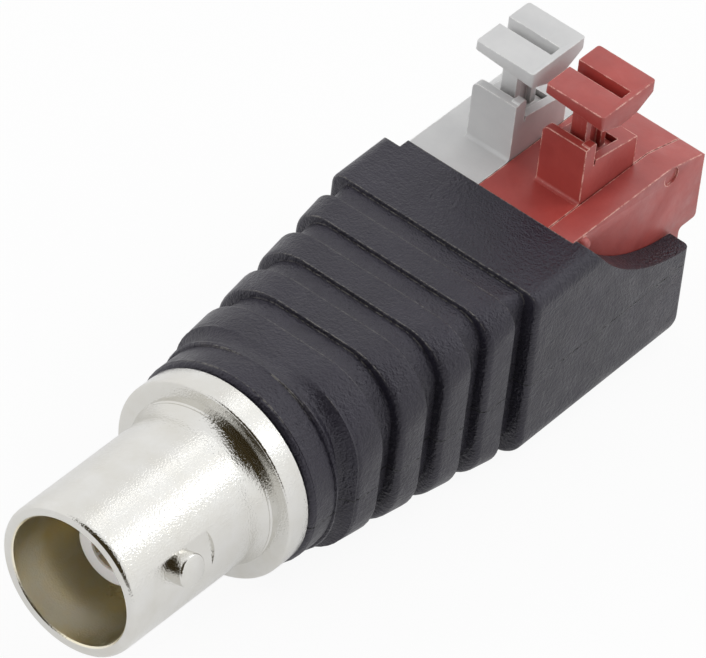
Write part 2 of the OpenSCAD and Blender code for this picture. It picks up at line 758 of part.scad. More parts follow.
module end_cover() color(red_plastic) {
    mark_depth = 0.12;
    mark_y = slope_front + 0.1;
    mark_z = deck_z - mark_d / 2 - 0.05;
    pip_r = 0.3;
    difference() {
        across(cover_x, cover_x + cover_t)
            module_outline();
        translate([cover_x + cover_t - mark_depth, mark_y, mark_z])
            rotate([0, 90, 0])
                difference() {
                    cylinder(h = past, d = mark_d);
                    cylinder(h = mark_depth / 2, d = mark_d - 0.4);
                }
    }
    for (y = [peg_front_y, peg_rear_y])
        translate([cover_x - peg_len, y, peg_z])
            rotate([0, 90, 0])
                cylinder(h = peg_len + cover_t / 2, r = peg_r);
    translate([cover_x + cover_t - pip_r / 2, module_front + 1.1, deck_z - pip_r - 0.45])
        sphere(r = pip_r);
}

// A lever: paddle with a tool slot, stem, guide in the collar, hooks under the deck and a rounded tip.
module lever(x) {
    mid = x + lever_x;
    half = paddle_w / 2;
    flange_len = 0.45;
    web_w = stem_w / 2;
    keel_y = paddle_front + 1.7;
    keel_rear = keel_y + 1.5;
    difference() {
        intersection() {
            across(mid - half, mid + half)
                polygon([
                    [paddle_front, paddle_top], [paddle_front, paddle_top - paddle_front_t + 0.1],
                    [paddle_front + 0.12, paddle_top - paddle_front_t],
                    [keel_y, paddle_top - paddle_keel_t], [keel_rear, paddle_top - paddle_keel_t + 0.1],
                    [paddle_rear, paddle_top - paddle_rear_t], [paddle_rear, paddle_top]
                ]);
            translate([0, 0, deck_z])
                linear_extrude(height = paddle_h + past)
                    polygon(rounded_box(mid - half, paddle_front, mid + half, paddle_rear, paddle_corner_r));
        }
        block([mid - half - past, tool_slot_y, paddle_top - tool_slot_depth],
              [mid + half - tool_slot_bridge, tool_slot_y + tool_slot_w, paddle_top + past]);
    }
    stem_top = paddle_top - paddle_front_t - 0.1;
    for (y = [stem_front, stem_rear - flange_len])
        block([mid - stem_w / 2, y, guide_top - 0.5], [mid + stem_w / 2, y + flange_len, stem_top]);
    block([mid - web_w / 2, stem_front, guide_top - 0.5], [mid + web_w / 2, stem_rear, stem_top]);
    block([mid - guide_half_w, guide_front, guide_base],
          [mid + guide_half_w, guide_rear, guide_top]);
    block([mid - tip_w / 2, guide_front, roof_z - hook_h],
          [mid + tip_w / 2, guide_rear, guide_top - 0.2]);
    across(mid - tip_w / 2, mid + tip_w / 2)
        polygon([
            [guide_front - hook_reach, hook_top], [guide_front - hook_reach, hook_top - hook_h / 2],
            [guide_front + 0.1, hook_top - hook_h], [guide_rear - 0.1, hook_top - hook_h],
            [guide_rear + hook_reach, hook_top - hook_h / 2], [guide_rear + hook_reach, hook_top]
        ]);
    block([mid - tip_w / 2, tip_y - tip_r, tip_z], [mid + tip_w / 2, tip_y + tip_r, hook_top]);
    translate([mid, tip_y, tip_z])
        rotate([0, 90, 0])
            cylinder(h = tip_w, r = tip_r, center = true);
}

module grey_lever() color(grey_plastic) lever(grey_x);

module red_lever() color(red_plastic) lever(red_x);

// Offsets a path of [y, z] points to one side of its direction.
function beside(path, d) = [
    for (i = [0:len(path) - 1])
        let (a = path[max(i - 1, 0)],
             b = path[min(i + 1, len(path) - 1)],
             run = (b - a) / norm(b - a))
        path[i] + d * [-run[1], run[0]]
];

module clamp_spring(x) {
    mid = x + lever_x;
    path = concat(
        [[bend_y - spring_foot_len, spring_floor_z], [bend_y - 0.02, spring_floor_z]],
        [for (i = [0:10])
            let (a = -90 + (180 - leg_rise) * i / 10)
            [bend_y + spring_bend_r * cos(a), bend_z + spring_bend_r * sin(a)]],
        [[leg_end_y, leg_end_z]]);
    outer = beside(path, -spring_t / 2);
    inner = beside(path, spring_t / 2);
    color(spring_steel)
        across(mid - spring_w / 2, mid + spring_w / 2)
            polygon(concat(outer, [for (i = [len(inner) - 1:-1:0]) inner[i]]));
}

module grey_spring() clamp_spring(grey_x);

module red_spring() clamp_spring(red_x);

module contact_bar(x) {
    mid = x + lever_x;
    color(tinned_brass)
        difference() {
            union() {
                block([mid - bar_w / 2, leg_front, bar_under], [mid + bar_w / 2, bar_rear, bar_under + bar_t]);
                block([mid - bar_w / 2, leg_front, -pin_half_t],
                      [mid + bar_w / 2, leg_front + bar_t, bar_under + bar_t]);
                block([mid - pin_w / 2, pin_tip_y, -pin_half_t],
                      [mid + pin_w / 2, leg_front + bar_t, pin_half_t]);
            }
            block([mid - bar_slot_w / 2, bar_slot_front, bar_under - past],
                  [mid + bar_slot_w / 2, bar_rear + past, bar_under + bar_t + past]);
        }
}

module grey_contact_bar() contact_bar(grey_x);

module red_contact_bar() contact_bar(red_x);

bnc_shell();
lug_pin_right();
lug_pin_left();
insulator();
rear_insulator();
centre_contact();
ground_tag();
centre_lead();
ground_lead();
boot();
grey_housing();
red_housing();
end_cover();
grey_lever();
red_lever();
grey_spring();
red_spring();
grey_contact_bar();
red_contact_bar();
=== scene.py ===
import math

import bmesh
import bpy
from mathutils import Matrix, Vector


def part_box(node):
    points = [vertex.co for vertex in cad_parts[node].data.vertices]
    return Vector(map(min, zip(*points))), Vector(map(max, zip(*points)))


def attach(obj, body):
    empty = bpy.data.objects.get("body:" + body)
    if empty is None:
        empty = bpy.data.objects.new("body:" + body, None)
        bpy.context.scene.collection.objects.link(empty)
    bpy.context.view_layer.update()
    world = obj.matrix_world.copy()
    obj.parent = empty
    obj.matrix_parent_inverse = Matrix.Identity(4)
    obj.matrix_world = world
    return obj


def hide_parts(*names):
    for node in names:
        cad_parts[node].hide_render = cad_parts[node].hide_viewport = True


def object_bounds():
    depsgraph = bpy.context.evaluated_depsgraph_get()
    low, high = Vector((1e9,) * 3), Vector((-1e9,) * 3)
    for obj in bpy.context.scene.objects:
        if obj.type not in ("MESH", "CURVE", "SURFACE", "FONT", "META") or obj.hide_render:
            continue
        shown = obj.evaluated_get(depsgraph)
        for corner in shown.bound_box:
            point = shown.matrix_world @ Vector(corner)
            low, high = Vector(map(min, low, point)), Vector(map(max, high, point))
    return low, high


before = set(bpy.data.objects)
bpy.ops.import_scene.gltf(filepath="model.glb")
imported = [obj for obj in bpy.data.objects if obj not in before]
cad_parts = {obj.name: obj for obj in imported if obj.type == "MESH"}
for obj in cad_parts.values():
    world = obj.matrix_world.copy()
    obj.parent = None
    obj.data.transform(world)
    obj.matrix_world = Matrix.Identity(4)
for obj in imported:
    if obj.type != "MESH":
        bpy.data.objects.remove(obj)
CAD_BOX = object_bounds()
MM = 0.001

# ---- Camera ----
# A long lens looks down on the adapter from its front right, with the socket's mouth low on the left
# and the levers high on the right. The camera leans a little, so the part climbs the frame.
AZIMUTH = math.radians(35.05)
ELEVATION = math.radians(42.74)
LEAN = math.radians(7.15)
CAMERA_PLACE = Vector((0.23198, -0.30699, 0.37655))
LENS_MM = 505.44

forward = Vector((
    -math.sin(AZIMUTH) * math.cos(ELEVATION),
    math.cos(AZIMUTH) * math.cos(ELEVATION),
    -math.sin(ELEVATION),
))
level_right = Vector((math.cos(AZIMUTH), math.sin(AZIMUTH), 0))
level_up = level_right.cross(forward)
right = math.cos(LEAN) * level_right + math.sin(LEAN) * level_up
up = right.cross(forward)
camera = bpy.data.objects.new("camera", bpy.data.cameras.new("camera"))
bpy.context.scene.collection.objects.link(camera)
turned_frame = Matrix((right, up, -forward)).transposed().to_4x4()
camera.matrix_world = Matrix.Translation(CAMERA_PLACE) @ turned_frame
camera.data.sensor_width = 36
camera.data.lens = LENS_MM
camera.data.clip_start = 0.01
camera.data.clip_end = 20
bpy.context.scene.camera = camera
bpy.context.scene.view_settings.view_transform = "Standard"

# ---- Floor, sky and lamps ----
# A white table under a white sky. Soft lamps stand behind, on the left and in front. Only the small spark
# lamp shows in the plated metal, with flat cards in place of the others: one dark and three bright.
TABLE_SIZE = 6.0
TABLE_GAP = 0.02 * MM
TABLE_PAINT = (0.92, 0.92, 0.92, 1)
GLOW_IN_METAL = 0.48
GLOW_TO_CAMERA = 0.93
SKY_LIGHT = (0.40, 0.40, 0.404, 1)
WHITE = (1, 1, 1, 1)
CARD_BROWN = (0.048, 0.037, 0.019, 1)
CARD_COOL = (0.98, 0.99, 1, 1)
AIM = Vector((0, 0.025, 0))
BACK_PLACE = (0.22, 0.38, 0.44)
BACK_SIZE = (0.84, 0.58)


def new_material(name):
    """An empty material with its output, ready for nodes."""
    material = bpy.data.materials.new(name)
    material.use_nodes = True
    material.node_tree.nodes.clear()
    return material, material.node_tree.nodes, material.node_tree.links


def math_node(tree, operation, a, b=None, clamp=False):
    """A Math node over sockets or plain numbers."""
    node = tree.nodes.new("ShaderNodeMath")
    node.operation = operation
    node.use_clamp = clamp
    for socket, value in zip(node.inputs, (a, b)):
        if value is None:
            continue
        if isinstance(value, (int, float)):
            socket.default_value = value
        else:
            tree.links.new(value, socket)
    return node.outputs[0]


def level(tree, source, low, high, start, end):
    """Carries a value from the range start to end over to low to high."""
    node = tree.nodes.new("ShaderNodeMapRange")
    for name, value in (("From Min", start), ("From Max", end), ("To Min", low), ("To Max", high)):
        if isinstance(value, (int, float)):
            node.inputs[name].default_value = value
        else:
            tree.links.new(value, node.inputs[name])
    tree.links.new(source, node.inputs["Value"])
    return node.outputs["Result"]


def mix_colour(tree, share, a, b):
    """A mix of two colours, each a socket or a plain colour."""
    node = tree.nodes.new("ShaderNodeMix")
    node.data_type = "RGBA"
    tree.links.new(share, node.inputs["Factor"])
    for socket, value in ((node.inputs["A"], a), (node.inputs["B"], b)):
        if isinstance(value, tuple):
            socket.default_value = value
        else:
            tree.links.new(value, socket)
    return node.outputs["Result"]


def seen_ray(tree):
    """1 for camera, mirror and glass rays, which see the plain white surroundings."""
    rays = tree.nodes.new("ShaderNodeLightPath").outputs
    camera_or_mirror = math_node(tree, "MAXIMUM", rays["Is Camera Ray"], rays["Is Glossy Ray"])
    return math_node(tree, "MAXIMUM", camera_or_mirror, rays["Is Transmission Ray"])


sky = bpy.data.worlds.new("white_sky")
sky.use_nodes = True
bpy.context.scene.world = sky
background = sky.node_tree.nodes["Background"]
background.inputs["Strength"].default_value = 1
sky_tone = mix_colour(sky.node_tree, seen_ray(sky.node_tree), SKY_LIGHT, WHITE)
sky.node_tree.links.new(sky_tone, background.inputs["Color"])

bpy.ops.object.select_all(action="DESELECT")
bpy.ops.mesh.primitive_plane_add(size=TABLE_SIZE, location=(0, 0.02, CAD_BOX[0][2] - TABLE_GAP))
floor = bpy.context.object
floor.name = "floor"
bpy.ops.object.transform_apply(location=True, rotation=True, scale=True)
table_white, nodes, links = new_material("white_table")
tree = table_white.node_tree
table_paint = nodes.new("ShaderNodeBsdfDiffuse")
table_paint.inputs["Color"].default_value = TABLE_PAINT
table_glow = nodes.new("ShaderNodeEmission")
table_glow.inputs["Color"].default_value = WHITE
table_glow.inputs["Strength"].default_value = 1
table_mix = nodes.new("ShaderNodeMixShader")
table_out = nodes.new("ShaderNodeOutputMaterial")
camera_ray = nodes.new("ShaderNodeLightPath").outputs["Is Camera Ray"]
glow_share = level(tree, camera_ray, GLOW_IN_METAL, GLOW_TO_CAMERA, 0, 1)
links.new(math_node(tree, "MULTIPLY", glow_share, seen_ray(tree)), table_mix.inputs["Fac"])
links.new(table_paint.outputs[0], table_mix.inputs[1])
links.new(table_glow.outputs[0], table_mix.inputs[2])
links.new(table_mix.outputs[0], table_out.inputs["Surface"])
floor.data.materials.append(table_white)


def soft_lamp(name, place, size, watts, in_mirrors=False):
    """A rectangular area lamp at place that faces the part."""
    lamp = bpy.data.objects.new(name, bpy.data.lights.new(name, "AREA"))
    bpy.context.scene.collection.objects.link(lamp)
    lamp.location = place
    lamp.rotation_euler = (AIM - Vector(place)).to_track_quat("-Z", "Y").to_euler()
    lamp.data.shape = "RECTANGLE"
    lamp.data.size, lamp.data.size_y = size
    lamp.data.energy = watts
    lamp.visible_glossy = in_mirrors


soft_lamp("back_lamp", BACK_PLACE, BACK_SIZE, 1.55)
soft_lamp("left_lamp", (-0.45, 0.10, 0.40), (0.40, 0.30), 0.8)
soft_lamp("front_fill", (-0.10, -0.55, 0.34), (0.40, 0.30), 1.0)
soft_lamp("spark_lamp", (0.240, 0.345, 0.350), (0.12, 0.12), 0.22, in_mirrors=True)


def reflector_card(name, place, size, colour, strength=1.0):
    """A card that faces the part and that only mirror rays see, dark or bright."""
    bpy.ops.object.select_all(action="DESELECT")
    bpy.ops.mesh.primitive_plane_add(size=1, location=place)
    card = bpy.context.object
    card.name = name
    card.scale = (size[0], size[1], 1)
    card.rotation_euler = (AIM - Vector(place)).to_track_quat("Z", "Y").to_euler()
    bpy.ops.object.transform_apply(location=True, rotation=True, scale=True)
    card_material, nodes, links = new_material(name)
    glow = nodes.new("ShaderNodeEmission")
    glow.inputs["Color"].default_value = colour
    glow.inputs["Strength"].default_value = strength
    out = nodes.new("ShaderNodeOutputMaterial")
    links.new(glow.outputs[0], out.inputs["Surface"])
    card.data.materials.append(card_material)
    card.visible_camera = False
    card.visible_diffuse = False
    card.visible_shadow = False


reflector_card("camera_side_card", (0.130, -0.200, 0.225), (0.57, 0.57), CARD_BROWN)
reflector_card("lamp_screen", BACK_PLACE, BACK_SIZE, CARD_COOL, 1.20)
reflector_card("lamp_core", (0.205, 0.350, 0.365), (0.18, 0.28), WHITE, 1.28)
reflector_card("window_strip", (-0.095, 0.385, 0.49), (0.036, 0.45), WHITE, 2.2)

# ---- Bayonet shell ----
# Turned brass body with bright nickel plate: a thin barrel, a hollow flare up to a small hub step and
# the round flange that the boot butts against. The plate has a fine grain, as from tumbling.
BARREL_R = 4.80 * MM
BORE_R = 4.07 * MM
BORE_END = 9.0 * MM
SEAT_R = 3.20 * MM
TAIL_R = 4.40 * MM
HUB_R = 5.15 * MM
HUB_H = 0.30 * MM
FLARE_R = 2.20 * MM
FLANGE_T = 1.55 * MM
FLANGE_GAP = 0.10 * MM
RIM_BEVEL = 0.20 * MM
EDGE = 0.07 * MM
TURN_STEPS = 160
WELD = 0.001 * MM
NICKEL_PALE = (0.75, 0.742, 0.715, 1)
NICKEL_WARM = (0.70, 0.685, 0.640, 1)
# Painted bounce light inside the bore: an olive and a pale tone.
BORE_BOUNCE_OLIVE = (0.97, 0.86, 0.55, 1)
BORE_BOUNCE_PALE = (0.96, 0.93, 0.82, 1)

shell_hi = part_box("bnc_shell")[1]
boot_lo, boot_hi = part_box("boot")
flange_r = shell_hi[0]
tail_end = shell_hi[1]
flange_rear = boot_lo[1] - FLANGE_GAP
flange_front = flange_rear - FLANGE_T
hub_front = flange_front - HUB_H


def draw_outline(name, points):
    """A closed outline, in edit mode: a plane shrunk to one vertex that is extruded from point to point."""
    bpy.ops.object.select_all(action="DESELECT")
    bpy.ops.mesh.primitive_plane_add(size=MM, location=points[0])
    piece = bpy.context.object
    piece.name = name
    bpy.ops.object.transform_apply(location=True, rotation=True, scale=True)
    bpy.ops.object.mode_set(mode="EDIT")
    bpy.ops.mesh.select_all(action="SELECT")
    bpy.ops.mesh.merge(type="CENTER")
    for a, b in zip(points, points[1:] + points[:1]):
        step = Vector(b) - Vector(a)
        bpy.ops.mesh.extrude_region_move(TRANSFORM_OT_translate={"value": step})
    bpy.ops.mesh.select_all(action="SELECT")
    bpy.ops.mesh.remove_doubles(threshold=WELD)
    return piece


def close_mesh():
    """Turns all the faces outward and leaves edit mode."""
    bpy.ops.mesh.select_all(action="SELECT")
    bpy.ops.mesh.normals_make_consistent(inside=False)
    bpy.ops.object.mode_set(mode="OBJECT")


def turn_piece(name, outline, steps=TURN_STEPS):
    """A turned piece about the Y axis. Its closed outline holds (radius, y) points."""
    piece = draw_outline(name, [(r, y, 0) for r, y in outline])
    bpy.ops.mesh.spin(steps=steps, angle=math.tau, center=(0, 0, 0), axis=(0, 1, 0))
    bpy.ops.mesh.select_all(action="SELECT")
    bpy.ops.mesh.remove_doubles(threshold=WELD)
    close_mesh()
    return piece


def arc(centre, radius, start, end, count=6):
    """Points of an arc, with angles in degrees."""
    turns = [math.radians(start + (end - start) * i / count) for i in range(count + 1)]
    return [(centre[0] + radius * math.cos(t), centre[1] + radius * math.sin(t)) for t in turns]


def apply_all(piece):
    """Applies the piece's modifiers in order."""
    bpy.ops.object.select_all(action="DESELECT")
    bpy.context.view_layer.objects.active = piece
    piece.select_set(True)
    for modifier in list(piece.modifiers):
        bpy.ops.object.modifier_apply(modifier=modifier.name)


def cut_away(piece, cutters, operation="DIFFERENCE"):
    """Cuts the cutters out of the piece, or with UNION joins them to it."""
    for cutter in cutters:
        modifier = piece.modifiers.new("cut", "BOOLEAN")
        modifier.operation = operation
        modifier.solver = "EXACT"
        modifier.object = cutter
        apply_all(piece)
        bpy.data.objects.remove(cutter)


def soften(piece, width, segments=3, angle=35):
    """Rounds the sharp edges and shades the piece smooth between them."""
    if width:
        modifier = piece.modifiers.new("rounded_edges", "BEVEL")
        modifier.width = width
        modifier.segments = segments
        modifier.limit_method = "ANGLE"
        modifier.angle_limit = math.radians(angle)
        modifier.use_clamp_overlap = True
        modifier.miter_outer = "MITER_ARC"
    apply_all(piece)
    bpy.ops.object.shade_smooth_by_angle(angle=math.radians(angle))


def round_bar(name, place, direction, radius, length, sides=64):
    """A cylinder that starts at place and runs along direction."""
    direction = Vector(direction).normalized()
    middle = Vector(place) + direction * length / 2
    turn = direction.to_track_quat("Z", "Y").to_euler()
    bpy.ops.object.select_all(action="DESELECT")
    bpy.ops.mesh.primitive_cylinder_add(
        vertices=sides, radius=radius, depth=length, location=middle, rotation=turn
    )
    piece = bpy.context.object
    piece.name = name
    bpy.ops.object.transform_apply(location=True, rotation=True, scale=True)
    return piece


def finish_piece(piece, material, body, slot, *cad_nodes):
    """Gives the piece its material and its body, and hides the CAD nodes that it stands for. The slot is not
    used.
    """
    piece.data.materials.clear()
    piece.data.materials.append(material)
    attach(piece, body)
    if cad_nodes:
        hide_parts(*cad_nodes)


def start_group(name, sockets):
    """A new node group. Sockets hold (name, kind, way in or out, start value)."""
    group = bpy.data.node_groups.new(name, "ShaderNodeTree")
    for label, kind, way, value in sockets:
        socket = group.interface.new_socket(name=label, in_out=way, socket_type="NodeSocket" + kind)
        if value is not None:
            socket.default_value = value
    return group, group.nodes.new("NodeGroupInput").outputs, group.nodes.new("NodeGroupOutput").inputs


def place_group(tree, group, **values):
    """Puts a group into a material, with its values, and gives its outputs."""
    node = tree.nodes.new("ShaderNodeGroup")
    node.node_tree = group
    for name, value in values.items():
        node.inputs[name.replace("_", " ")].default_value = value
    return node.outputs


def sized_noise(tree, size, detail, roughness):
    """Noise on object coordinates whose lumps have the size of a socket."""
    place = tree.nodes.new("ShaderNodeTexCoord")
    noise = tree.nodes.new("ShaderNodeTexNoise")
    noise.inputs["Detail"].default_value = detail
    noise.inputs["Roughness"].default_value = roughness
    tree.links.new(place.outputs["Object"], noise.inputs["Vector"])
    tree.links.new(math_node(tree, "DIVIDE", 1.0, size), noise.inputs["Scale"])
    return noise.outputs["Fac"]


def bump(tree, height, distance, onto=None):
    """A Bump node over a height, on top of another normal if there is one."""
    node = tree.nodes.new("ShaderNodeBump")
    if isinstance(distance, (int, float)):
        node.inputs["Distance"].default_value = distance
    else:
        tree.links.new(distance, node.inputs["Distance"])
    tree.links.new(height, node.inputs["Height"])
    if onto is not None:
        tree.links.new(onto, node.inputs["Normal"])
    return node.outputs["Normal"]


# Soft clouds: a share from 0 to 1 that tints the colour, and a value that sets the gloss.
clouds, given, gives = start_group("soft_clouds", [
    ("Size", "Float", "INPUT", 3 * MM), ("Low", "Float", "INPUT", 0.2), ("High", "Float", "INPUT", 0.4),
    ("Share", "Float", "OUTPUT", None), ("Value", "Float", "OUTPUT", None),
])
cloud = sized_noise(clouds, given["Size"], 4, 0.6)
clouds.links.new(level(clouds, cloud, 0.0, 1.0, 0.32, 0.66), gives["Share"])
clouds.links.new(level(clouds, cloud, given["Low"], given["High"], 0.32, 0.66), gives["Value"])

# Fine grain: the tumbled skin of a plated part, or the faint skin of a moulded one.
grain, given, gives = start_group("fine_grain", [
    ("Size", "Float", "INPUT", 0.15 * MM), ("Depth", "Float", "INPUT", 0.02 * MM),
    ("Normal", "Vector", "OUTPUT", None),
])
lumps = sized_noise(grain, given["Size"], 2, 0.6)
grain.links.new(bump(grain, lumps, given["Depth"]), gives["Normal"])


def principled(nodes, links, **plain):
    """A Principled shader joined to an output, with plain values on its sockets."""
    shader = nodes.new("ShaderNodeBsdfPrincipled")
    out = nodes.new("ShaderNodeOutputMaterial")
    links.new(shader.outputs[0], out.inputs["Surface"])
    for name, value in plain.items():
        shader.inputs[name.replace("_", " ")].default_value = value
    return shader


def plated_metal(name, pale, warm, smooth, rough, grain_size, grain_depth):
    """Plated metal with a fine grain, patches of warmer tone and uneven gloss."""
    material, nodes, links = new_material(name)
    tree = material.node_tree
    shader = principled(nodes, links, Metallic=1.0)
    patches = place_group(tree, clouds, Size=2.4 * MM)
    links.new(mix_colour(tree, patches["Share"], warm, pale), shader.inputs["Base Color"])
    gloss = place_group(tree, clouds, Size=0.8 * MM, Low=smooth, High=rough)
    links.new(gloss["Value"], shader.inputs["Roughness"])
    skin = place_group(tree, grain, Size=grain_size, Depth=grain_depth)
    links.new(skin["Normal"], shader.inputs["Normal"])
    return material


def nickel_plate(name):
    """Bright nickel plate, nearly as smooth as a mirror."""
    return plated_metal(name, NICKEL_PALE, NICKEL_WARM, 0.05, 0.11, 0.12 * MM, 0.024 * MM)


def shader_of(material):
    """The Principled shader of a material."""
    return next(node for node in material.node_tree.nodes if node.type == "BSDF_PRINCIPLED")


def own_axes(tree):
    """X, Y and Z in the piece's own coordinates."""
    place = tree.nodes.new("ShaderNodeTexCoord")
    split = tree.nodes.new("ShaderNodeSeparateXYZ")
    tree.links.new(place.outputs["Object"], split.inputs[0])
    return split.outputs


# Inside the barrel the plate is duller, and olive and pale patches are painted light that bounces round the
# yellowish bore.
shell_nickel = nickel_plate("shell_nickel_plate")
tree = shell_nickel.node_tree
shader = shader_of(shell_nickel)
outside_tone = shader.inputs["Base Color"].links[0].from_socket
outside_gloss = shader.inputs["Roughness"].links[0].from_socket
axes = own_axes(tree)
across = math_node(tree, "MULTIPLY", axes["X"], axes["X"])
upward = math_node(tree, "MULTIPLY", axes["Z"], axes["Z"])
from_axis = math_node(tree, "SQRT", math_node(tree, "ADD", across, upward))
inside = level(tree, from_axis, 1.0, 0.0, BORE_R + 0.02 * MM, BORE_R + 0.12 * MM)
blotches = place_group(tree, clouds, Size=3.2 * MM, Low=0.24, High=0.40)
bounce_tone = mix_colour(tree, blotches["Share"], BORE_BOUNCE_OLIVE, BORE_BOUNCE_PALE)
tree.links.new(mix_colour(tree, inside, outside_tone, bounce_tone), shader.inputs["Base Color"])
inside_gloss = math_node(tree, "MULTIPLY", inside, blotches["Value"])
tree.links.new(math_node(tree, "MAXIMUM", outside_gloss, inside_gloss), shader.inputs["Roughness"])

# The outline runs from the rim over the barrel, the flare and the flange to the tail, and back by the bore.
flare_len = math.sqrt(FLARE_R ** 2 - (FLARE_R - (HUB_R - BARREL_R)) ** 2)
flare_turn = math.degrees(math.asin(flare_len / FLARE_R))
flare = arc((BARREL_R + FLARE_R, hub_front - flare_len), FLARE_R, 180, 180 - flare_turn, 10)
shell_outline = (
    [(BORE_R + RIM_BEVEL / 2, 0), (BARREL_R - 0.17 * MM, 0), (BARREL_R - 0.07 * MM, 0.09 * MM)]
    + [(BARREL_R - 0.02 * MM, 0.22 * MM), (BARREL_R, 0.42 * MM)]
    + flare[:-1]
    + [(HUB_R - EDGE, hub_front - 0.03 * MM), (HUB_R, hub_front + EDGE), (HUB_R, flange_front)]
    + arc((flange_r - 2 * EDGE, flange_front + 2 * EDGE), 2 * EDGE, -90, 0, 4)
    + arc((flange_r - EDGE, flange_rear - EDGE), EDGE, 0, 90, 3)
    + [(TAIL_R, flange_rear), (TAIL_R, tail_end), (SEAT_R, tail_end), (SEAT_R, BORE_END)]
    + [(BORE_R, BORE_END), (BORE_R, RIM_BEVEL / 2)]
)
shell = turn_piece("bayonet_shell", shell_outline)

# ---- Bayonet studs ----
# Two nickel-plated pins pressed through the barrel wall, each on a round spot face. The plug's bayonet
# ring turns over them.
STUD_R = 1.0 * MM
STUD_Y = 4.2 * MM
STUD_TURN = math.radians(17)
STUD_TIP = 5.5 * MM
STUD_ROUND = 0.18 * MM
SPOT_R = 2.45 * MM
SPOT_FLOOR = BARREL_R - 0.13 * MM
nickel = nickel_plate("nickel_plate")
stud_len = STUD_TIP - SPOT_FLOOR
round_start = stud_len - STUD_ROUND - 0.04 * MM
stud_way = Vector((math.cos(STUD_TURN), 0, math.sin(STUD_TURN)))
for side, cad_node in ((1, "lug_pin_right"), (-1, "lug_pin_left")):
    way = stud_way * side
    foot = Vector((0, STUD_Y, 0)) + way * SPOT_FLOOR
    cut_away(shell, [round_bar("spot_face", foot, way, SPOT_R, 2 * MM, 96)])
    stud = turn_piece(
        cad_node + "_stud",
        [(0, 0), (STUD_R, 0), (STUD_R, round_start)]
        + arc((STUD_R - STUD_ROUND, round_start), STUD_ROUND, 0, 70, 4)
        + [(0, stud_len)],
        48,
    )
    stand = way.to_track_quat("Y", "Z").to_matrix().to_4x4()
    stud.data.transform(Matrix.Translation(foot) @ stand)
    soften(stud, 0, angle=30)
    finish_piece(stud, nickel, "adapter", "nickel_plate", cad_node)
soften(shell, 0, angle=28)
finish_piece(shell, shell_nickel, "adapter", "nickel_plate", "bnc_shell")

# ---- Insulator ----
# White moulded dielectric behind the mouth: a slim nose with a hole for the plug's pin, and a wider body
# that is pressed into the shell's seat. The ring behind it closes the seat.
NOSE_R = 2.25 * MM
NOSE_BEVEL = 0.16 * MM
FACE_HOLE_R = 1.32 * MM
FACE_T = 0.5 * MM
CONTACT_R = 1.05 * MM
FIT = 0.02 * MM
DIELECTRIC_WHITE = (0.93, 0.915, 0.92, 1)
DIELECTRIC_SHADE = (0.89, 0.875, 0.885, 1)
# Colours of the painted edge highlight and of the painted recess shade.
DIELECTRIC_EDGE_HIGHLIGHT = (0.93, 0.92, 0.92, 1)
DIELECTRIC_RECESS_SHADE = (0.55, 0.52, 0.50, 1)

insulator_lo, insulator_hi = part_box("insulator")
nose_face = insulator_lo[1]
contact_face = nose_face + FACE_T

# Painted edge highlight: 1 along edges, broken up, where rounded edges would catch the light.
painted_edge_highlight, given, gives = start_group("painted_edge_highlight", [
    ("Width", "Float", "INPUT", 0.08 * MM), ("Break", "Float", "INPUT", 0.3 * MM),
    ("Strength", "Float", "INPUT", 1.0), ("Mask", "Float", "OUTPUT", None),
])
rounded = painted_edge_highlight.nodes.new("ShaderNodeBevel")
rounded.samples = 6
plain = painted_edge_highlight.nodes.new("ShaderNodeNewGeometry")
likeness = painted_edge_highlight.nodes.new("ShaderNodeVectorMath")
likeness.operation = "DOT_PRODUCT"
painted_edge_highlight.links.new(given["Width"], rounded.inputs["Radius"])
painted_edge_highlight.links.new(rounded.outputs["Normal"], likeness.inputs[0])
painted_edge_highlight.links.new(plain.outputs["Normal"], likeness.inputs[1])
turned_away = level(painted_edge_highlight, likeness.outputs["Value"], 1.0, 0.0, 0.955, 0.9985)
breaks = sized_noise(painted_edge_highlight, given["Break"], 3, 0.65)
broken = level(painted_edge_highlight, breaks, 0.12, 1.0, 0.43, 0.57)
highlight_share = math_node(painted_edge_highlight, "MULTIPLY", turned_away, broken)
highlight_mask = math_node(painted_edge_highlight, "MULTIPLY", highlight_share, given["Strength"], clamp=True)
painted_edge_highlight.links.new(highlight_mask, gives["Mask"])

# Painted recess shade: 1 deep in slots, seams and corners, where shade falls.
painted_recess_shade, given, gives = start_group("recess_shade", [
    ("Reach", "Float", "INPUT", 0.8 * MM), ("Strength", "Float", "INPUT", 1.0),
    ("Mask", "Float", "OUTPUT", None),
])
openness = painted_recess_shade.nodes.new("ShaderNodeAmbientOcclusion")
openness.samples = 8
painted_recess_shade.links.new(given["Reach"], openness.inputs["Distance"])
closed = level(painted_recess_shade, openness.outputs["AO"], 1.0, 0.0, 0.10, 0.55)
shade_mask = math_node(painted_recess_shade, "MULTIPLY", closed, given["Strength"], clamp=True)
painted_recess_shade.links.new(shade_mask, gives["Mask"])


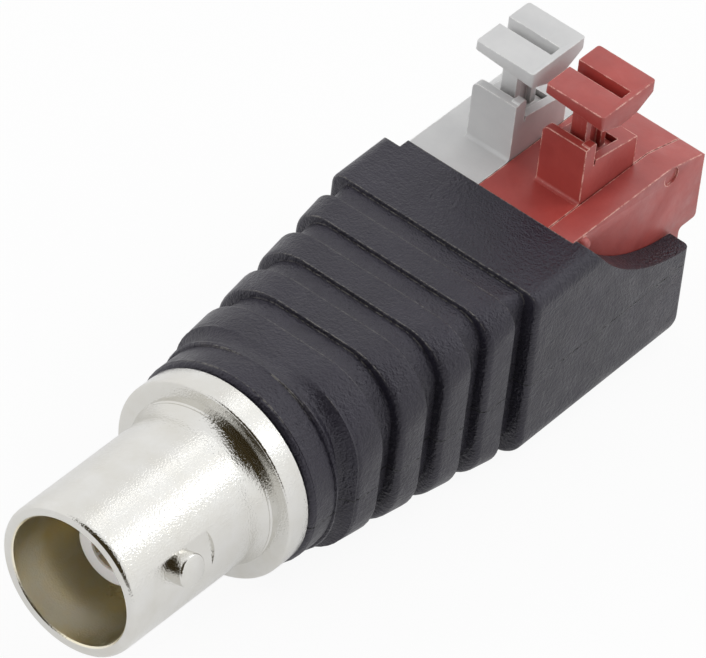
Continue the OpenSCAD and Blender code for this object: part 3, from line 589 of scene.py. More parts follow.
def moulded_plastic(name, colour, shade, gloss, satin, edge_highlight_tone, recess_shade_tone, edge=1.0, sink=0.8):
    """Moulded plastic: cloudy colour, uneven gloss, a faint skin, a painted highlight on edges and painted
    shade in recesses.
    """
    material, nodes, links = new_material(name)
    tree = material.node_tree
    shader = principled(nodes, links, Specular_IOR_Level=0.88)
    tone = place_group(tree, clouds, Size=3.1 * MM)
    body_tone = mix_colour(tree, tone["Share"], shade, colour)
    # Painted shade: recesses take a darker colour.
    sunk = place_group(tree, painted_recess_shade, Reach=0.9 * MM, Strength=sink)
    shaded_tone = mix_colour(tree, sunk["Mask"], body_tone, recess_shade_tone)
    # Painted highlight: edges take a paler colour.
    edges = place_group(tree, painted_edge_highlight, Width=0.12 * MM, Break=0.6 * MM, Strength=edge)
    links.new(mix_colour(tree, edges["Mask"], shaded_tone, edge_highlight_tone), shader.inputs["Base Color"])
    flow = place_group(tree, clouds, Size=1.1 * MM, Low=gloss, High=satin)
    links.new(flow["Value"], shader.inputs["Roughness"])
    skin = place_group(tree, grain, Size=0.30 * MM, Depth=0.008 * MM)
    links.new(skin["Normal"], shader.inputs["Normal"])
    return material


def coat_solids(material, *names):
    """Puts the material on solids that are shown as they are."""
    for name in names:
        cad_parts[name].data.materials.clear()
        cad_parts[name].data.materials.append(material)


dielectric = moulded_plastic(
    "white_dielectric", DIELECTRIC_WHITE, DIELECTRIC_SHADE, 0.30, 0.45,
    DIELECTRIC_EDGE_HIGHLIGHT, DIELECTRIC_RECESS_SHADE, edge=0.4, sink=0.1,
)
shader = shader_of(dielectric)
shader.inputs["Subsurface Weight"].default_value = 0.15
shader.inputs["Subsurface Radius"].default_value = (0.9, 0.5, 0.4)
shader.inputs["Subsurface Scale"].default_value = 0.4 * MM
insulator = turn_piece(
    "insulator_body",
    [(FACE_HOLE_R, nose_face), (NOSE_R - NOSE_BEVEL, nose_face)]
    + arc((NOSE_R - NOSE_BEVEL, nose_face + NOSE_BEVEL), NOSE_BEVEL, -90, 0, 4)[1:]
    + [(NOSE_R, BORE_END), (SEAT_R - FIT, BORE_END), (SEAT_R - FIT, insulator_hi[1])]
    + [(CONTACT_R + FIT, insulator_hi[1]), (CONTACT_R + FIT, contact_face)]
    + [(FACE_HOLE_R, contact_face)],
    96,
)
soften(insulator, 0, angle=30)
finish_piece(insulator, dielectric, "adapter", "white_insulator", "insulator")
coat_solids(dielectric, "rear_insulator")

# ---- Centre contact, ground tag and leads ----
# Turned and slotted contact with a round lead-in, tin plated like the tag, the bare wires and the contact
# bars. The tag sits on the shell's tail, and two soldered wires run from tag and contact to the bars' pins.
SOCKET_R = 0.69 * MM
SOCKET_DEPTH = 5.0 * MM
FINGER_SLOT = 0.2 * MM
FINGER_LEN = 3.2 * MM
LEAD_IN = 0.14 * MM
SOLDER_R = 0.7 * MM
HEAD_R = 1.28 * MM
HEAD_SET_IN = 0.08 * MM
SHOULDER_GAP = 0.4 * MM
TIN_PALE = (0.70, 0.62, 0.46, 1)
TIN_DARK = (0.52, 0.42, 0.28, 1)
tin = plated_metal("tin_plate", TIN_PALE, TIN_DARK, 0.24, 0.40, 0.12 * MM, 0.006 * MM)
contact_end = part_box("centre_contact")[1][1]
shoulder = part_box("rear_insulator")[1][1] + SHOULDER_GAP
head_face = nose_face + HEAD_SET_IN
contact = turn_piece(
    "centre_contact_sleeve",
    [(SOCKET_R + LEAD_IN, head_face), (HEAD_R - EDGE, head_face), (HEAD_R, head_face + EDGE)]
    + [(HEAD_R, contact_face - FIT), (CONTACT_R, contact_face - FIT), (CONTACT_R, shoulder)]
    + [(SOLDER_R, shoulder), (SOLDER_R, contact_end), (0, contact_end)]
    + [(0, contact_face + SOCKET_DEPTH), (SOCKET_R, contact_face + SOCKET_DEPTH)]
    + [(SOCKET_R, head_face + LEAD_IN)],
    64,
)


def block(name, lo, hi, turn=None):
    """A box from its lowest to its highest corner, turned about the Y axis if asked."""
    bpy.ops.object.select_all(action="DESELECT")
    middle = [(a + b) / 2 for a, b in zip(lo, hi)]
    bpy.ops.mesh.primitive_cube_add(size=1, location=middle)
    piece = bpy.context.object
    piece.name = name
    piece.scale = [b - a for a, b in zip(lo, hi)]
    bpy.ops.object.transform_apply(location=True, rotation=True, scale=True)
    if turn is not None:
        piece.data.transform(Matrix.Rotation(turn, 4, "Y"))
    return piece


for quarter in (1, 3):
    slot_cutter = block(
        "finger_slot",
        (-2 * MM, head_face - MM, -FINGER_SLOT / 2),
        (2 * MM, contact_face + FINGER_LEN, FINGER_SLOT / 2),
        math.radians(45 * quarter),
    )
    cut_away(contact, [slot_cutter])
soften(contact, 0, angle=30)
finish_piece(contact, tin, "adapter", "contact_metal", "centre_contact")
coat_solids(tin, "ground_tag", "centre_lead", "ground_lead", "grey_contact_bar", "red_contact_bar")

# ---- Boot ----
# Soft black plastic, moulded in a two-part tool whose parting line runs round the sides. A round nose butts
# against the flange, four ribs flex behind it, and a square block holds the terminals between its cheeks.
# FIRST_RIB, LAST_RIB and BLOCK hold half width, top, drop and the radii of the upper and lower corners.
BOOT_NOSE_R = 6.42 * MM
NOSE_LEN = 2.0 * MM
RIB_COUNT = 4
RIB_LEN = 2.0 * MM
GROOVE_LEN = 1.5 * MM
GROOVE_DEPTH = 0.8 * MM
GROOVE_TOP = 0.25 * MM
GROOVE_REAR_TOP = 0.05 * MM
HOLLOW_DEPTH = 0.95 * MM
HOLLOW_TOP = 0.10 * MM
FIRST_RIB = (6.65 * MM, 6.10 * MM, 6.30 * MM, 4.8 * MM, 4.8 * MM)
LAST_RIB = (7.35 * MM, 5.98 * MM, 6.65 * MM, 1.0 * MM, 2.0 * MM)
BLOCK = (7.60 * MM, 5.98 * MM, 6.65 * MM, 1.0 * MM, 2.0 * MM)
BLOCK_LEAN = -0.2 * MM
CORNER_STEPS = 12
SCOOP_R = 13.1 * MM
SCOOP_DROP = 5.97 * MM
SCOOP_LIP_R = 1.2 * MM
LEFT_LIP_R = 1.7 * MM
LEFT_SCOOP_SHIFT = 1.0 * MM
HEEL_R = 0.5 * MM
POCKET_FLOOR_T = 1.4 * MM
POCKET_GAP = 0.05 * MM
CUT_PAST = 10 * MM
PARTING_Z = -0.6 * MM
PARTING_STEP = 0.40 * MM
LEATHER_CELL = 0.13 * MM
LEATHER_DEPTH = 0.030 * MM
BOOT_DARK = (0.010, 0.009, 0.0145, 1)
BOOT_PALE = (0.017, 0.0153, 0.024, 1)
BOOT_LINE = (0.003, 0.003, 0.004, 1)
# Colour of the painted glints on the boot's upper edges.
BOOT_GLINT = (0.20, 0.19, 0.17, 1)

boot_front = boot_lo[1]
boot_rear = boot_hi[1]
block_top = boot_hi[2]
nose_end = boot_front + NOSE_LEN
first_rib = nose_end + GROOVE_LEN
rib_pitch = RIB_LEN + GROOVE_LEN
block_front = first_rib + RIB_COUNT * rib_pitch
terminal_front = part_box("red_housing")[0][1]
stack_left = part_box("grey_housing")[0][0]
stack_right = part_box("end_cover")[1][0]


def blend(a, b, share):
    """A mix of two sets of sizes."""
    share = min(max(share, 0), 1)
    return [p + (q - p) * share for p, q in zip(a, b)]


def plate(name, outline, x0, x1):
    """A flat piece from x0 to x1 whose outline holds (y, z) points."""
    piece = draw_outline(name, [(x0, y, z) for y, z in outline])
    bpy.ops.mesh.edge_face_add()
    bpy.ops.mesh.extrude_region_move(TRANSFORM_OT_translate={"value": (x1 - x0, 0, 0)})
    close_mesh()
    return piece


def boot_form(y, inset, top_inset):
    """Half width, top, drop and corner radii of the boot at y, set in by a groove."""
    if y < first_rib:
        round_nose = 3 * (BOOT_NOSE_R,) + 2 * (BOOT_NOSE_R * 0.99,)
        share = max((y - nose_end) / GROOVE_LEN, 0)
        form = blend(round_nose, FIRST_RIB, share ** 0.45)
        form[1:3] = blend(round_nose[1:3], FIRST_RIB[1:3], share)
    elif y < block_front - WELD:
        share = (y - first_rib) / (block_front - first_rib)
        form = blend(FIRST_RIB, LAST_RIB, share)
        form[3:] = blend(FIRST_RIB[3:], LAST_RIB[3:], share ** 1.25)
    else:
        form = list(BLOCK)
    half, top, drop, *corners = form
    full_round = (half - inset) * 0.995
    upper_r, lower_r = (min(radius - inset * 0.6, full_round) for radius in corners)
    return half - inset, top - top_inset, drop - inset, upper_r, lower_r


def boot_outline(y, inset, top_inset):
    """One outline across the boot: a rectangle with its corners rounded, without its face."""
    half, top, drop, upper_r, lower_r = boot_form(y, inset, top_inset)
    lean = BLOCK_LEAN * min(max((y - block_front) / (terminal_front - block_front), 0), 1)
    bpy.ops.object.select_all(action="DESELECT")
    bpy.ops.mesh.primitive_plane_add(
        size=2, location=(lean, y, (top - drop) / 2), rotation=(math.pi / 2, 0, 0)
    )
    outline = bpy.context.object
    outline.scale = (half, (top + drop) / 2, 1)
    bpy.ops.object.transform_apply(location=True, rotation=True, scale=True)
    bpy.ops.object.mode_set(mode="EDIT")
    bpy.ops.mesh.select_mode(type="VERT")
    for corner_z, radius in ((top, upper_r), (-drop, lower_r)):
        choose(outline, lambda p: abs(p.z - corner_z) < WELD)
        bpy.ops.mesh.bevel(
            offset=radius, segments=CORNER_STEPS, affect="VERTICES", clamp_overlap=False
        )
    bpy.ops.mesh.select_all(action="SELECT")
    bpy.ops.mesh.delete(type="ONLY_FACE")
    bpy.ops.object.mode_set(mode="OBJECT")
    return outline


def choose(piece, test):
    """Selects the vertices in edit mode whose place passes the test."""
    bpy.ops.mesh.select_all(action="DESELECT")
    mesh = bmesh.from_edit_mesh(piece.data)
    for vertex in mesh.verts:
        vertex.select = test(vertex.co)
    mesh.select_flush_mode()
    bmesh.update_edit_mesh(piece.data)


def rib_stations(y0, y1, front_r=0.4 * MM, rear_r=0.12 * MM):
    """Stations of a rib: a soft front edge, a crisp rear edge and the start of the groove behind it."""
    stations = [(y0 - 0.02 * MM, GROOVE_DEPTH, GROOVE_TOP)]
    for i in range(6):
        turn = math.radians(90 * i / 5)
        sink = 1 - math.sin(turn)
        top_sink = GROOVE_TOP * max(0, 1 - 1.9 * math.sin(turn))
        stations.append((y0 + front_r * (1 - math.cos(turn)), front_r * sink, top_sink))
    for i in range(4):
        turn = math.radians(90 * i / 3)
        drop = 1 - math.cos(turn)
        stations.append((y1 - rear_r * (1 - math.sin(turn)), rear_r * drop, 0.03 * MM * drop))
    stations.append((y1 + 0.02 * MM, GROOVE_DEPTH, GROOVE_REAR_TOP))
    return stations


# Each station holds its y and how far the boot's sides and its top are set in there. First come the nose's
# rolled lip and the hollow behind the nose, which sinks softly and rises to the first rib.
nose_lip = [(0, 0.42), (0.05, 0.24), (0.13, 0.11), (0.24, 0.04), (0.34, 0.03), (0.38, 0.0)]
stations = [(boot_front + along * MM, sink * MM, sink * MM) for along, sink in nose_lip]
stations += [(nose_end - 0.3 * MM, 0, 0), (nose_end, 0.02 * MM, 0)]
for i in range(14):
    share = i / 13
    y = nose_end + 0.03 * MM + (GROOVE_LEN - 0.05 * MM) * share
    fall = min(2 * share, 1)
    dip = (1 - share ** 4) * fall * fall * (3 - 2 * fall)
    stations.append((y, HOLLOW_DEPTH * dip, HOLLOW_TOP * dip))
for k in range(RIB_COUNT):
    y = first_rib + k * rib_pitch
    stations += [s for s in rib_stations(y, y + RIB_LEN) if k > 0 or s[0] > y + 0.1 * MM]
stations += [s for s in rib_stations(block_front, boot_rear) if s[0] < terminal_front]
for i in range(5):
    turn = math.radians(90 * i / 4)
    stations.append((boot_rear - HEEL_R * (1 - math.sin(turn)), HEEL_R * (1 - math.cos(turn)), 0))

outlines = [boot_outline(*station) for station in stations]
bpy.ops.object.select_all(action="DESELECT")
for outline in outlines:
    outline.select_set(True)
bpy.context.view_layer.objects.active = outlines[0]
bpy.ops.object.join()
boot = bpy.context.object
boot.name = "ribbed_boot"
bpy.ops.object.mode_set(mode="EDIT")
bpy.ops.mesh.select_all(action="SELECT")
bpy.ops.mesh.bridge_edge_loops(type="SINGLE")
for end in (boot_front, boot_rear):
    choose(boot, lambda p: abs(p.y - end) < WELD)
    bpy.ops.mesh.edge_face_add()
close_mesh()

bore_len = terminal_front - boot_front + 2 * MM
bore = round_bar("boot_bore", (0, boot_front - MM, 0), (0, 1, 0), TAIL_R + FIT, bore_len)
pocket = block(
    "terminal_pocket",
    (stack_left - POCKET_GAP, terminal_front, boot_lo[2] + POCKET_FLOOR_T),
    (stack_right + POCKET_GAP, boot_rear + MM, block_top + MM),
)
scoop_y = terminal_front + math.sqrt(SCOOP_R ** 2 - (SCOOP_R - SCOOP_DROP) ** 2)
scoop_z = block_top - SCOOP_DROP + SCOOP_R


def scoop_outline(lip_r, centre_y):
    """Side outline of a cheek's scoop: a soft lip, the long arc and the open end."""
    rise = scoop_z - block_top + lip_r
    lip_y = centre_y - math.sqrt((SCOOP_R + lip_r) ** 2 - rise ** 2)
    lip_turn = math.degrees(math.atan2(rise, centre_y - lip_y))
    past_rear = boot_rear + 3 * MM
    past_top = block_top + 2 * MM
    return (
        [(lip_y, past_top)]
        + arc((lip_y, block_top - lip_r), lip_r, 89, lip_turn, 8)
        + arc((centre_y, scoop_z), SCOOP_R, 180 + lip_turn, 270, 40)[1:]
        + [(past_rear, scoop_z - SCOOP_R), (past_rear, past_top)]
    )


left_outline = scoop_outline(LEFT_LIP_R, scoop_y - LEFT_SCOOP_SHIFT)
left_scoop = plate("left_scoop", left_outline, -CUT_PAST, stack_left - POCKET_GAP)
right_outline = scoop_outline(SCOOP_LIP_R, scoop_y)
right_scoop = plate("right_scoop", right_outline, stack_right + POCKET_GAP, CUT_PAST)
cut_away(boot, [left_scoop, right_scoop])
cut_away(boot, [bore, pocket])
soften(boot, 0, angle=32)

boot_plastic, nodes, links = new_material("black_boot_plastic")
tree = boot_plastic.node_tree
shader = principled(nodes, links, Specular_IOR_Level=0.52, Specular_Tint=(0.93, 0.90, 1.0, 1))
tone = place_group(tree, clouds, Size=4 * MM)
body_tone = mix_colour(tree, tone["Share"], BOOT_DARK, BOOT_PALE)
# The parting line of the mould runs round the sides as a fine step.
height_up = own_axes(tree)["Z"]
wander = math_node(tree, "MULTIPLY", place_group(tree, clouds, Size=6 * MM)["Share"], 0.06 * MM)
above_line = math_node(tree, "SUBTRACT", math_node(tree, "SUBTRACT", height_up, PARTING_Z), wander)
line = level(tree, math_node(tree, "ABSOLUTE", above_line), 1.0, 0.0, 0.02 * MM, 0.07 * MM)
step = level(tree, above_line, 0.0, 1.0, -0.04 * MM, 0.04 * MM)
lined_tone = mix_colour(tree, line, body_tone, BOOT_LINE)
# Painted glints: pale specks on the edges near the top, where the grain would catch the light.
painted_glints = place_group(tree, painted_edge_highlight, Width=0.12 * MM, Break=0.24 * MM)
near_top = level(tree, height_up, 0.0, 1.0, block_top - 1.6 * MM, block_top - 0.5 * MM)
glint_share = math_node(tree, "MULTIPLY", painted_glints["Mask"], near_top)
links.new(mix_colour(tree, glint_share, lined_tone, BOOT_GLINT), shader.inputs["Base Color"])
wear = place_group(tree, clouds, Size=1.3 * MM, Low=0.28, High=0.42)
links.new(wear["Value"], shader.inputs["Roughness"])
# The mould leaves a leathery skin: small cells with softer waves under them.
cells = nodes.new("ShaderNodeTexVoronoi")
cells.feature = "SMOOTH_F1"
cells.inputs["Scale"].default_value = 1 / LEATHER_CELL
cells.inputs["Smoothness"].default_value = 0.6
links.new(nodes.new("ShaderNodeTexCoord").outputs["Object"], cells.inputs["Vector"])
waves = place_group(tree, clouds, Size=2.2 * LEATHER_CELL)
leather = math_node(tree, "ADD", cells.outputs["Distance"], waves["Share"])
stepped = bump(tree, step, PARTING_STEP)
links.new(bump(tree, leather, LEATHER_DEPTH, stepped), shader.inputs["Normal"])
finish_piece(boot, boot_plastic, "adapter", "black_boot", "boot")

# ---- Terminal modules ----
# Two housings of hard moulded plastic, set side by side into the boot's block: the grey one for the shield
# and the red one for the centre wire. Each has a round wire entry at the rear and a collar round its lever,
# flush with its right side.
MODULE_W = 5.04 * MM
PITCH = 5.08 * MM
SLOPE_LEN = 3.2 * MM
SLOPE_DROP = 0.83 * MM
REAR_FACE_H = 4.83 * MM
REAR_STEP = 1.5 * MM
ROOF_T = 1.03 * MM
COLLAR_SETBACK = 2.8 * MM
COLLAR_W = 3.18 * MM
COLLAR_LEN = 4.9 * MM
COLLAR_FRONT_H = 4.0 * MM
COLLAR_SIDE_H = 2.7 * MM
COLLAR_REAR_H = 2.1 * MM
COLLAR_FRONT_T = 0.55 * MM
COLLAR_TOOTH = 0.35 * MM
COLLAR_WALL_T = 0.55 * MM
COLLAR_REAR_T = 1.2 * MM
COLLAR_ROOT = 0.4 * MM
COLLAR_STEP = 0.2 * MM
COLLAR_FILLET_R = 0.25 * MM
COLLAR_ROUND = 0.42 * MM
NOTCH_H = 2.36 * MM
TOOTH_W = 0.54 * MM
TOOTH_RISE = 0.10 * MM
MOULD_EDGE = 0.045 * MM
WIRE_R = 1.15 * MM
WIRE_Z = 2.1 * MM
FUNNEL_R = 1.6 * MM
FUNNEL_DEPTH = 1.0 * MM
SIDE_WALL_T = 0.85 * MM
FRONT_WALL_T = 1.2 * MM
REAR_WALL_T = 2.4 * MM
CHAMBER_DROP = 1.75 * MM
PIN_SLOT_HALF_W = 0.52 * MM
PIN_SLOT_HALF_H = 0.32 * MM
TOE_R = 0.3 * MM
HEEL_EDGE_R = 0.25 * MM
GREY = (0.69, 0.69, 0.685, 1)
GREY_SHADE = (0.62, 0.62, 0.62, 1)
# Colours of the painted edge highlight and of the painted recess shade.
GREY_EDGE_HIGHLIGHT = (0.93, 0.93, 0.91, 1)
GREY_RECESS_SHADE = (0.13, 0.11, 0.09, 1)
RED = (0.45, 0.062, 0.050, 1)
RED_SHADE = (0.36, 0.042, 0.034, 1)
# Colours of the painted edge highlight and of the painted recess shade.
RED_EDGE_HIGHLIGHT = (0.90, 0.52, 0.43, 1)
RED_RECESS_SHADE = (0.12, 0.012, 0.010, 1)

cover_lo, cover_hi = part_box("end_cover")
module_front = terminal_front
module_rear = cover_hi[1]
module_floor = cover_lo[2]
deck = cover_hi[2]
slope_front = module_rear - SLOPE_LEN
slope_foot = deck - SLOPE_DROP
step_z = slope_foot - REAR_FACE_H
collar_front = module_front + COLLAR_SETBACK
collar_rear = collar_front + COLLAR_LEN
well_front = collar_front + COLLAR_FRONT_T
well_rear = collar_rear - COLLAR_REAR_T
tooth_rear = well_front + COLLAR_TOOTH
lever_mid = stack_left + PITCH - COLLAR_W / 2


def round_edges(piece, width, test, along, segments=4):
    """Rounds the edges that run along an axis (0, 1 or 2) and whose both ends pass the test."""
    bpy.ops.object.select_all(action="DESELECT")
    bpy.context.view_layer.objects.active = piece
    piece.select_set(True)
    bpy.ops.object.mode_set(mode="EDIT")
    bpy.ops.mesh.select_mode(type="EDGE")
    bpy.ops.mesh.select_all(action="DESELECT")
    mesh = bmesh.from_edit_mesh(piece.data)
    for edge in mesh.edges:
        a, b = (v.co for v in edge.verts)
        way = (b - a).normalized()
        edge.select = abs(way[along]) > 0.99 and test(a) and test(b)
    bmesh.update_edit_mesh(piece.data)
    bpy.ops.mesh.bevel(offset=width, segments=segments)
    bpy.ops.mesh.select_mode(type="VERT")
    bpy.ops.object.mode_set(mode="OBJECT")


def side_outline():
    """Side outline of a module and of the end cover."""
    toe_y = module_rear - REAR_STEP
    return (
        [(module_front, module_floor), (toe_y, module_floor)]
        + arc((toe_y + TOE_R, step_z - TOE_R), TOE_R, 180, 90, 4)
        + arc((module_rear - HEEL_EDGE_R, step_z + HEEL_EDGE_R), HEEL_EDGE_R, -90, 0, 4)
        + [(module_rear, slope_foot - 0.1 * MM), (module_rear - 0.2 * MM, slope_foot + 0.05 * MM)]
        + [(slope_front, deck), (module_front, deck)]
    )


def module_housing(name, left):
    """One housing with its collar, chamber, wire entry and lever well."""
    right = left + MODULE_W
    mid = left + PITCH - COLLAR_W / 2
    collar_left = left + PITCH - COLLAR_W
    sunk = deck - COLLAR_ROOT
    notch_z = deck + NOTCH_H
    side_front = collar_front + COLLAR_STEP
    body = plate(name, side_outline(), left, right)
    wall = block(
        "collar_wall", (collar_left, collar_front, sunk), (right, well_front, deck + COLLAR_FRONT_H)
    )
    top = deck + COLLAR_FRONT_H - 0.01 * MM
    round_edges(wall, COLLAR_ROUND, lambda p: p.z > top and p.x < collar_left + 0.01 * MM, 1)
    sides = plate("collar_sides", [
        (side_front, sunk), (collar_rear, sunk), (collar_rear, deck + COLLAR_REAR_H),
        (tooth_rear + 0.17 * MM, deck + COLLAR_SIDE_H), (tooth_rear + 0.12 * MM, notch_z + 0.06 * MM),
        (tooth_rear + 0.06 * MM, notch_z), (side_front, notch_z),
    ], collar_left, right)
    fillet_y = collar_front - COLLAR_FILLET_R
    fillet_z = deck + COLLAR_FILLET_R
    foot = plate(
        "collar_foot",
        [(side_front, sunk), (side_front, fillet_z)]
        + arc((fillet_y, fillet_z), COLLAR_FILLET_R, 0, -86, 5)
        + [(fillet_y, sunk)],
        collar_left + 0.01 * MM, right - WELD,
    )
    tooth = block(
        "collar_tooth",
        (right - TOOTH_W, well_front - 0.3 * MM, deck + 2 * MM),
        (right, tooth_rear, deck + COLLAR_FRONT_H + TOOTH_RISE),
    )
    round_edges(tooth, 0.12 * MM, lambda p: p.z > deck + 3 * MM, 0)
    cut_away(body, [wall, sides, foot, tooth], operation="UNION")
    well_half = COLLAR_W / 2 - COLLAR_WALL_T
    well = block(
        "lever_well",
        (mid - well_half, well_front, deck - 2 * MM),
        (mid + well_half, well_rear, deck + 8 * MM),
    )
    chamber = block(
        "spring_chamber",
        (left + SIDE_WALL_T, module_front + FRONT_WALL_T, WIRE_Z - WIRE_R - CHAMBER_DROP),
        (left + PITCH + MM, module_rear - REAR_WALL_T, deck - ROOF_T),
    )
    entry = round_bar(
        "wire_entry", (mid, module_rear - REAR_WALL_T - MM, WIRE_Z), (0, 1, 0), WIRE_R, REAR_WALL_T + 2 * MM
    )
    funnel = turn_piece(
        "entry_funnel",
        [(0, module_rear - FUNNEL_DEPTH), (WIRE_R, module_rear - FUNNEL_DEPTH)]
        + [(FUNNEL_R, module_rear), (FUNNEL_R, module_rear + MM), (0, module_rear + MM)],
        64,
    )
    funnel.data.transform(Matrix.Translation((mid, 0, WIRE_Z)))
    pin_slot = block(
        "pin_slot",
        (mid - PIN_SLOT_HALF_W, module_front - MM, -PIN_SLOT_HALF_H),
        (mid + PIN_SLOT_HALF_W, module_front + FRONT_WALL_T + MM, PIN_SLOT_HALF_H),
    )
    cut_away(body, [well, chamber, entry, funnel, pin_slot])
    soften(body, MOULD_EDGE, 2, 30)
    return body


grey_plastic = moulded_plastic("grey_moulded_plastic", GREY, GREY_SHADE, 0.34, 0.50, GREY_EDGE_HIGHLIGHT, GREY_RECESS_SHADE)
red_plastic = moulded_plastic("red_moulded_plastic", RED, RED_SHADE, 0.34, 0.50, RED_EDGE_HIGHLIGHT, RED_RECESS_SHADE)
grey_housing = module_housing("grey_module", stack_left)
finish_piece(grey_housing, grey_plastic, "adapter", "grey_plastic", "grey_housing")
red_housing = module_housing("red_module", stack_left + PITCH)
finish_piece(red_housing, red_plastic, "adapter", "red_plastic", "red_housing")

# ---- End cover ----
# Red moulded plate of the same hard plastic that closes the red module's open side. Two pegs hold it, and
# it carries a small ejector mark near its rear and a tiny gate pip near its front.
MARK_R = 0.6 * MM
MARK_DEPTH = 0.10 * MM
PIP_R = 0.50 * MM
PIP_SET_IN = 0.02 * MM
PIP_BACK = 0.95 * MM
PIP_BELOW_DECK = 0.12 * MM
PEG_R = 0.6 * MM
PEG_LEN = 1.5 * MM
PEG_OVERLAP = 0.5 * MM
PEG_INSET = 0.9 * MM
PEG_RISE = 0.85 * MM
COVER_EDGE = 0.06 * MM
plate_left = stack_left + 2 * PITCH
end_cover = plate("end_plate", side_outline(), plate_left, stack_right)
mark_place = Vector((stack_right, slope_front + 0.1 * MM, deck - MARK_R - 0.1 * MM))
mark_way = Vector((1, 0.05, -0.07)).normalized()
mark = round_bar("mark", mark_place - mark_way * MARK_DEPTH, mark_way, MARK_R, MM, 48)
cut_away(end_cover, [mark])
for y in (module_front + FRONT_WALL_T / 2 + PEG_INSET, module_rear - REAR_WALL_T - PEG_INSET):
    peg_end = (plate_left - PEG_LEN, y, module_floor + PEG_RISE)
    peg = round_bar("peg", peg_end, (1, 0, 0), PEG_R, PEG_LEN + PEG_OVERLAP, 32)
    cut_away(end_cover, [peg], operation="UNION")
bpy.ops.object.select_all(action="DESELECT")
bpy.ops.mesh.primitive_uv_sphere_add(
    segments=24, ring_count=14, radius=PIP_R,
    location=(stack_right - PIP_SET_IN, module_front + PIP_BACK, deck - PIP_R - PIP_BELOW_DECK),
)
cut_away(end_cover, [bpy.context.object], operation="UNION")
soften(end_cover, COVER_EDGE, 2, 30)
finish_piece(end_cover, red_plastic, "adapter", "red_plastic", "end_cover")

# ---- Levers ----
# Push levers of the modules' hard plastic: a paddle with a slot for a screwdriver, a stem of two flanges and
# a web, a guide in the collar and hooks that catch under the deck. Pressing one opens the clamp below.
PADDLE_W = 4.15 * MM
PADDLE_LEN = 4.72 * MM
PADDLE_FRONT_T = 1.05 * MM
PADDLE_KEEL_T = 1.65 * MM
PADDLE_REAR_T = 0.75 * MM
TOOL_SLOT_W = 0.8 * MM
TOOL_SLOT_DEPTH = 0.95 * MM
TOOL_SLOT_BRIDGE = 0.42 * MM
PADDLE_SETBACK = 0.45 * MM
KNUCKLE_R = 0.2 * MM
LEFT_CORNER_LIFT = 0.32 * MM
STEM_W = 1.08 * MM
STEM_LEN = 2.0 * MM
STEM_FLANGE_T = 0.45 * MM
GUIDE_GAP = 0.1 * MM
GUIDE_RISE = 1.95 * MM
GUIDE_FOOT_Z = 5.15 * MM
GUIDE_LAP = 0.5 * MM
HOOK_GAP = 0.05 * MM
HOOK_OUT = 0.4 * MM
HOOK_T = 0.42 * MM
HOOK_DEPTH = 0.85 * MM
TIP_R = 0.5 * MM
TIP_HALF_W = 0.6 * MM


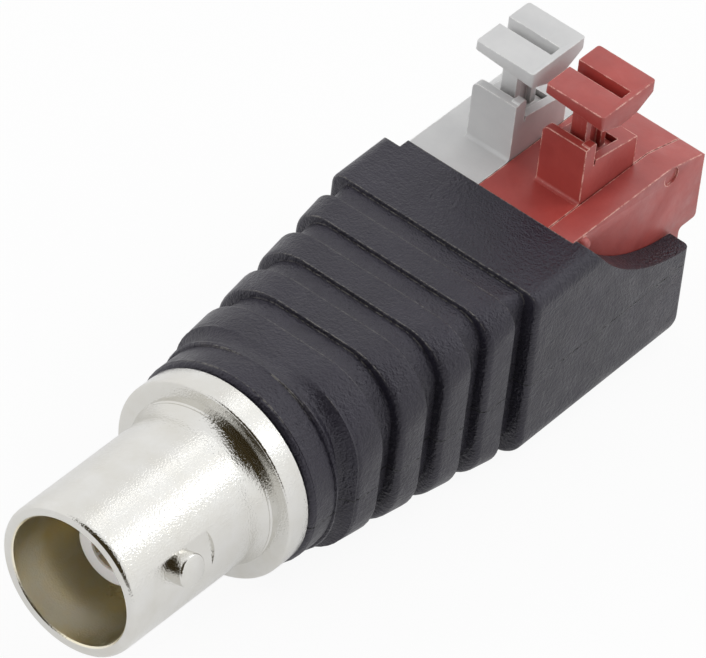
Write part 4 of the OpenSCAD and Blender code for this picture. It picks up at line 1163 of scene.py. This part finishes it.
def push_lever(name, mid, cad_node):
    """One lever, from its paddle to its rounded tip."""
    lo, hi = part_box(cad_node)
    top = hi[2]
    front = collar_front + PADDLE_SETBACK
    rear = front + PADDLE_LEN
    half = PADDLE_W / 2
    paddle = plate(name, [
        (front, top), (front, top - PADDLE_FRONT_T + 0.1 * MM), (front + 0.12 * MM, top - PADDLE_FRONT_T),
        (front + 1.7 * MM, top - PADDLE_KEEL_T), (front + 3.2 * MM, top - PADDLE_KEEL_T + 0.1 * MM),
        (rear, top - PADDLE_REAR_T), (rear, top),
    ], mid - half, mid + half)
    round_edges(paddle, KNUCKLE_R, lambda p: min(abs(p.y - front), abs(p.y - rear)) < WELD, 2)
    bpy.ops.object.mode_set(mode="EDIT")
    choose(paddle, lambda p: p.x < mid and p.y < front + MM and p.z < top - MM / 2)
    bpy.ops.transform.translate(value=(0, 0, LEFT_CORNER_LIFT))
    bpy.ops.object.mode_set(mode="OBJECT")
    slot_y = front + 2.1 * MM
    cut_away(paddle, [block(
        "tool_slot",
        (mid - half - MM, slot_y, top - TOOL_SLOT_DEPTH),
        (mid + half - TOOL_SLOT_BRIDGE, slot_y + TOOL_SLOT_W, top + MM),
    )])
    soften(paddle, MOULD_EDGE, 2, 28)
    stem_front = tooth_rear + 0.3 * MM
    stem_top = top - PADDLE_FRONT_T - 0.1 * MM
    guide_top = deck + GUIDE_RISE
    guide_front = well_front + GUIDE_GAP
    guide_rear = well_rear - GUIDE_GAP
    guide_half = COLLAR_W / 2 - COLLAR_WALL_T - GUIDE_GAP
    hook_top = deck - ROOF_T - HOOK_GAP
    left, right = mid - TIP_HALF_W, mid + TIP_HALF_W
    tip_y = tooth_rear + 1.2 * MM
    parts = [
        block(
            "stem_flange",
            (mid - STEM_W / 2, y, guide_top - GUIDE_LAP),
            (mid + STEM_W / 2, y + STEM_FLANGE_T, stem_top),
        )
        for y in (stem_front, stem_front + STEM_LEN - STEM_FLANGE_T)
    ]
    parts.append(block(
        "stem_web",
        (mid - STEM_W / 6, stem_front + 0.05 * MM, guide_top - GUIDE_LAP),
        (mid + STEM_W / 6, stem_front + STEM_LEN - 0.05 * MM, stem_top),
    ))
    parts.append(block(
        "guide",
        (mid - guide_half, guide_front, GUIDE_FOOT_Z), (mid + guide_half, guide_rear, guide_top),
    ))
    parts.append(block(
        "guide_web",
        (left, guide_front, hook_top - 0.8 * MM), (right, guide_rear, guide_top - 0.2 * MM),
    ))
    parts.append(plate("hooks", [
        (guide_front - HOOK_OUT, hook_top), (guide_front - HOOK_OUT, hook_top - HOOK_T),
        (guide_front + 0.1 * MM, hook_top - HOOK_DEPTH), (guide_rear - 0.1 * MM, hook_top - HOOK_DEPTH),
        (guide_rear + HOOK_OUT, hook_top - HOOK_T), (guide_rear + HOOK_OUT, hook_top),
    ], left, right))
    parts.append(plate(
        "tip",
        arc((tip_y, lo[2] + TIP_R), TIP_R, -180, 0, 12)
        + [(tip_y + TIP_R, hook_top - 0.1 * MM), (tip_y - TIP_R, hook_top - 0.1 * MM)],
        left, right,
    ))
    for part in parts:
        soften(part, 0.03 * MM, 2, 30)
    bpy.ops.object.select_all(action="DESELECT")
    for part in parts + [paddle]:
        part.select_set(True)
    bpy.context.view_layer.objects.active = paddle
    bpy.ops.object.join()
    bpy.ops.object.shade_smooth_by_angle(angle=math.radians(30))
    return paddle


grey_lever = push_lever("grey_push_lever", lever_mid, "grey_lever")
finish_piece(grey_lever, grey_plastic, "grey_push", "grey_plastic", "grey_lever")
red_lever = push_lever("red_push_lever", lever_mid + PITCH, "red_lever")
finish_piece(red_lever, red_plastic, "red_push", "red_plastic", "red_lever")

# ---- Clamp springs ----
# One bent strip of satin spring steel in each chamber. Its foot lies on the chamber's floor and its leg
# presses the wire against the contact bar until the lever pushes it down.
STEEL_PALE = (0.62, 0.62, 0.63, 1)
STEEL_DARK = (0.50, 0.50, 0.52, 1)
spring_steel = plated_metal("spring_steel", STEEL_PALE, STEEL_DARK, 0.22, 0.36, 0.10 * MM, 0.006 * MM)
coat_solids(spring_steel, "grey_spring", "red_spring")
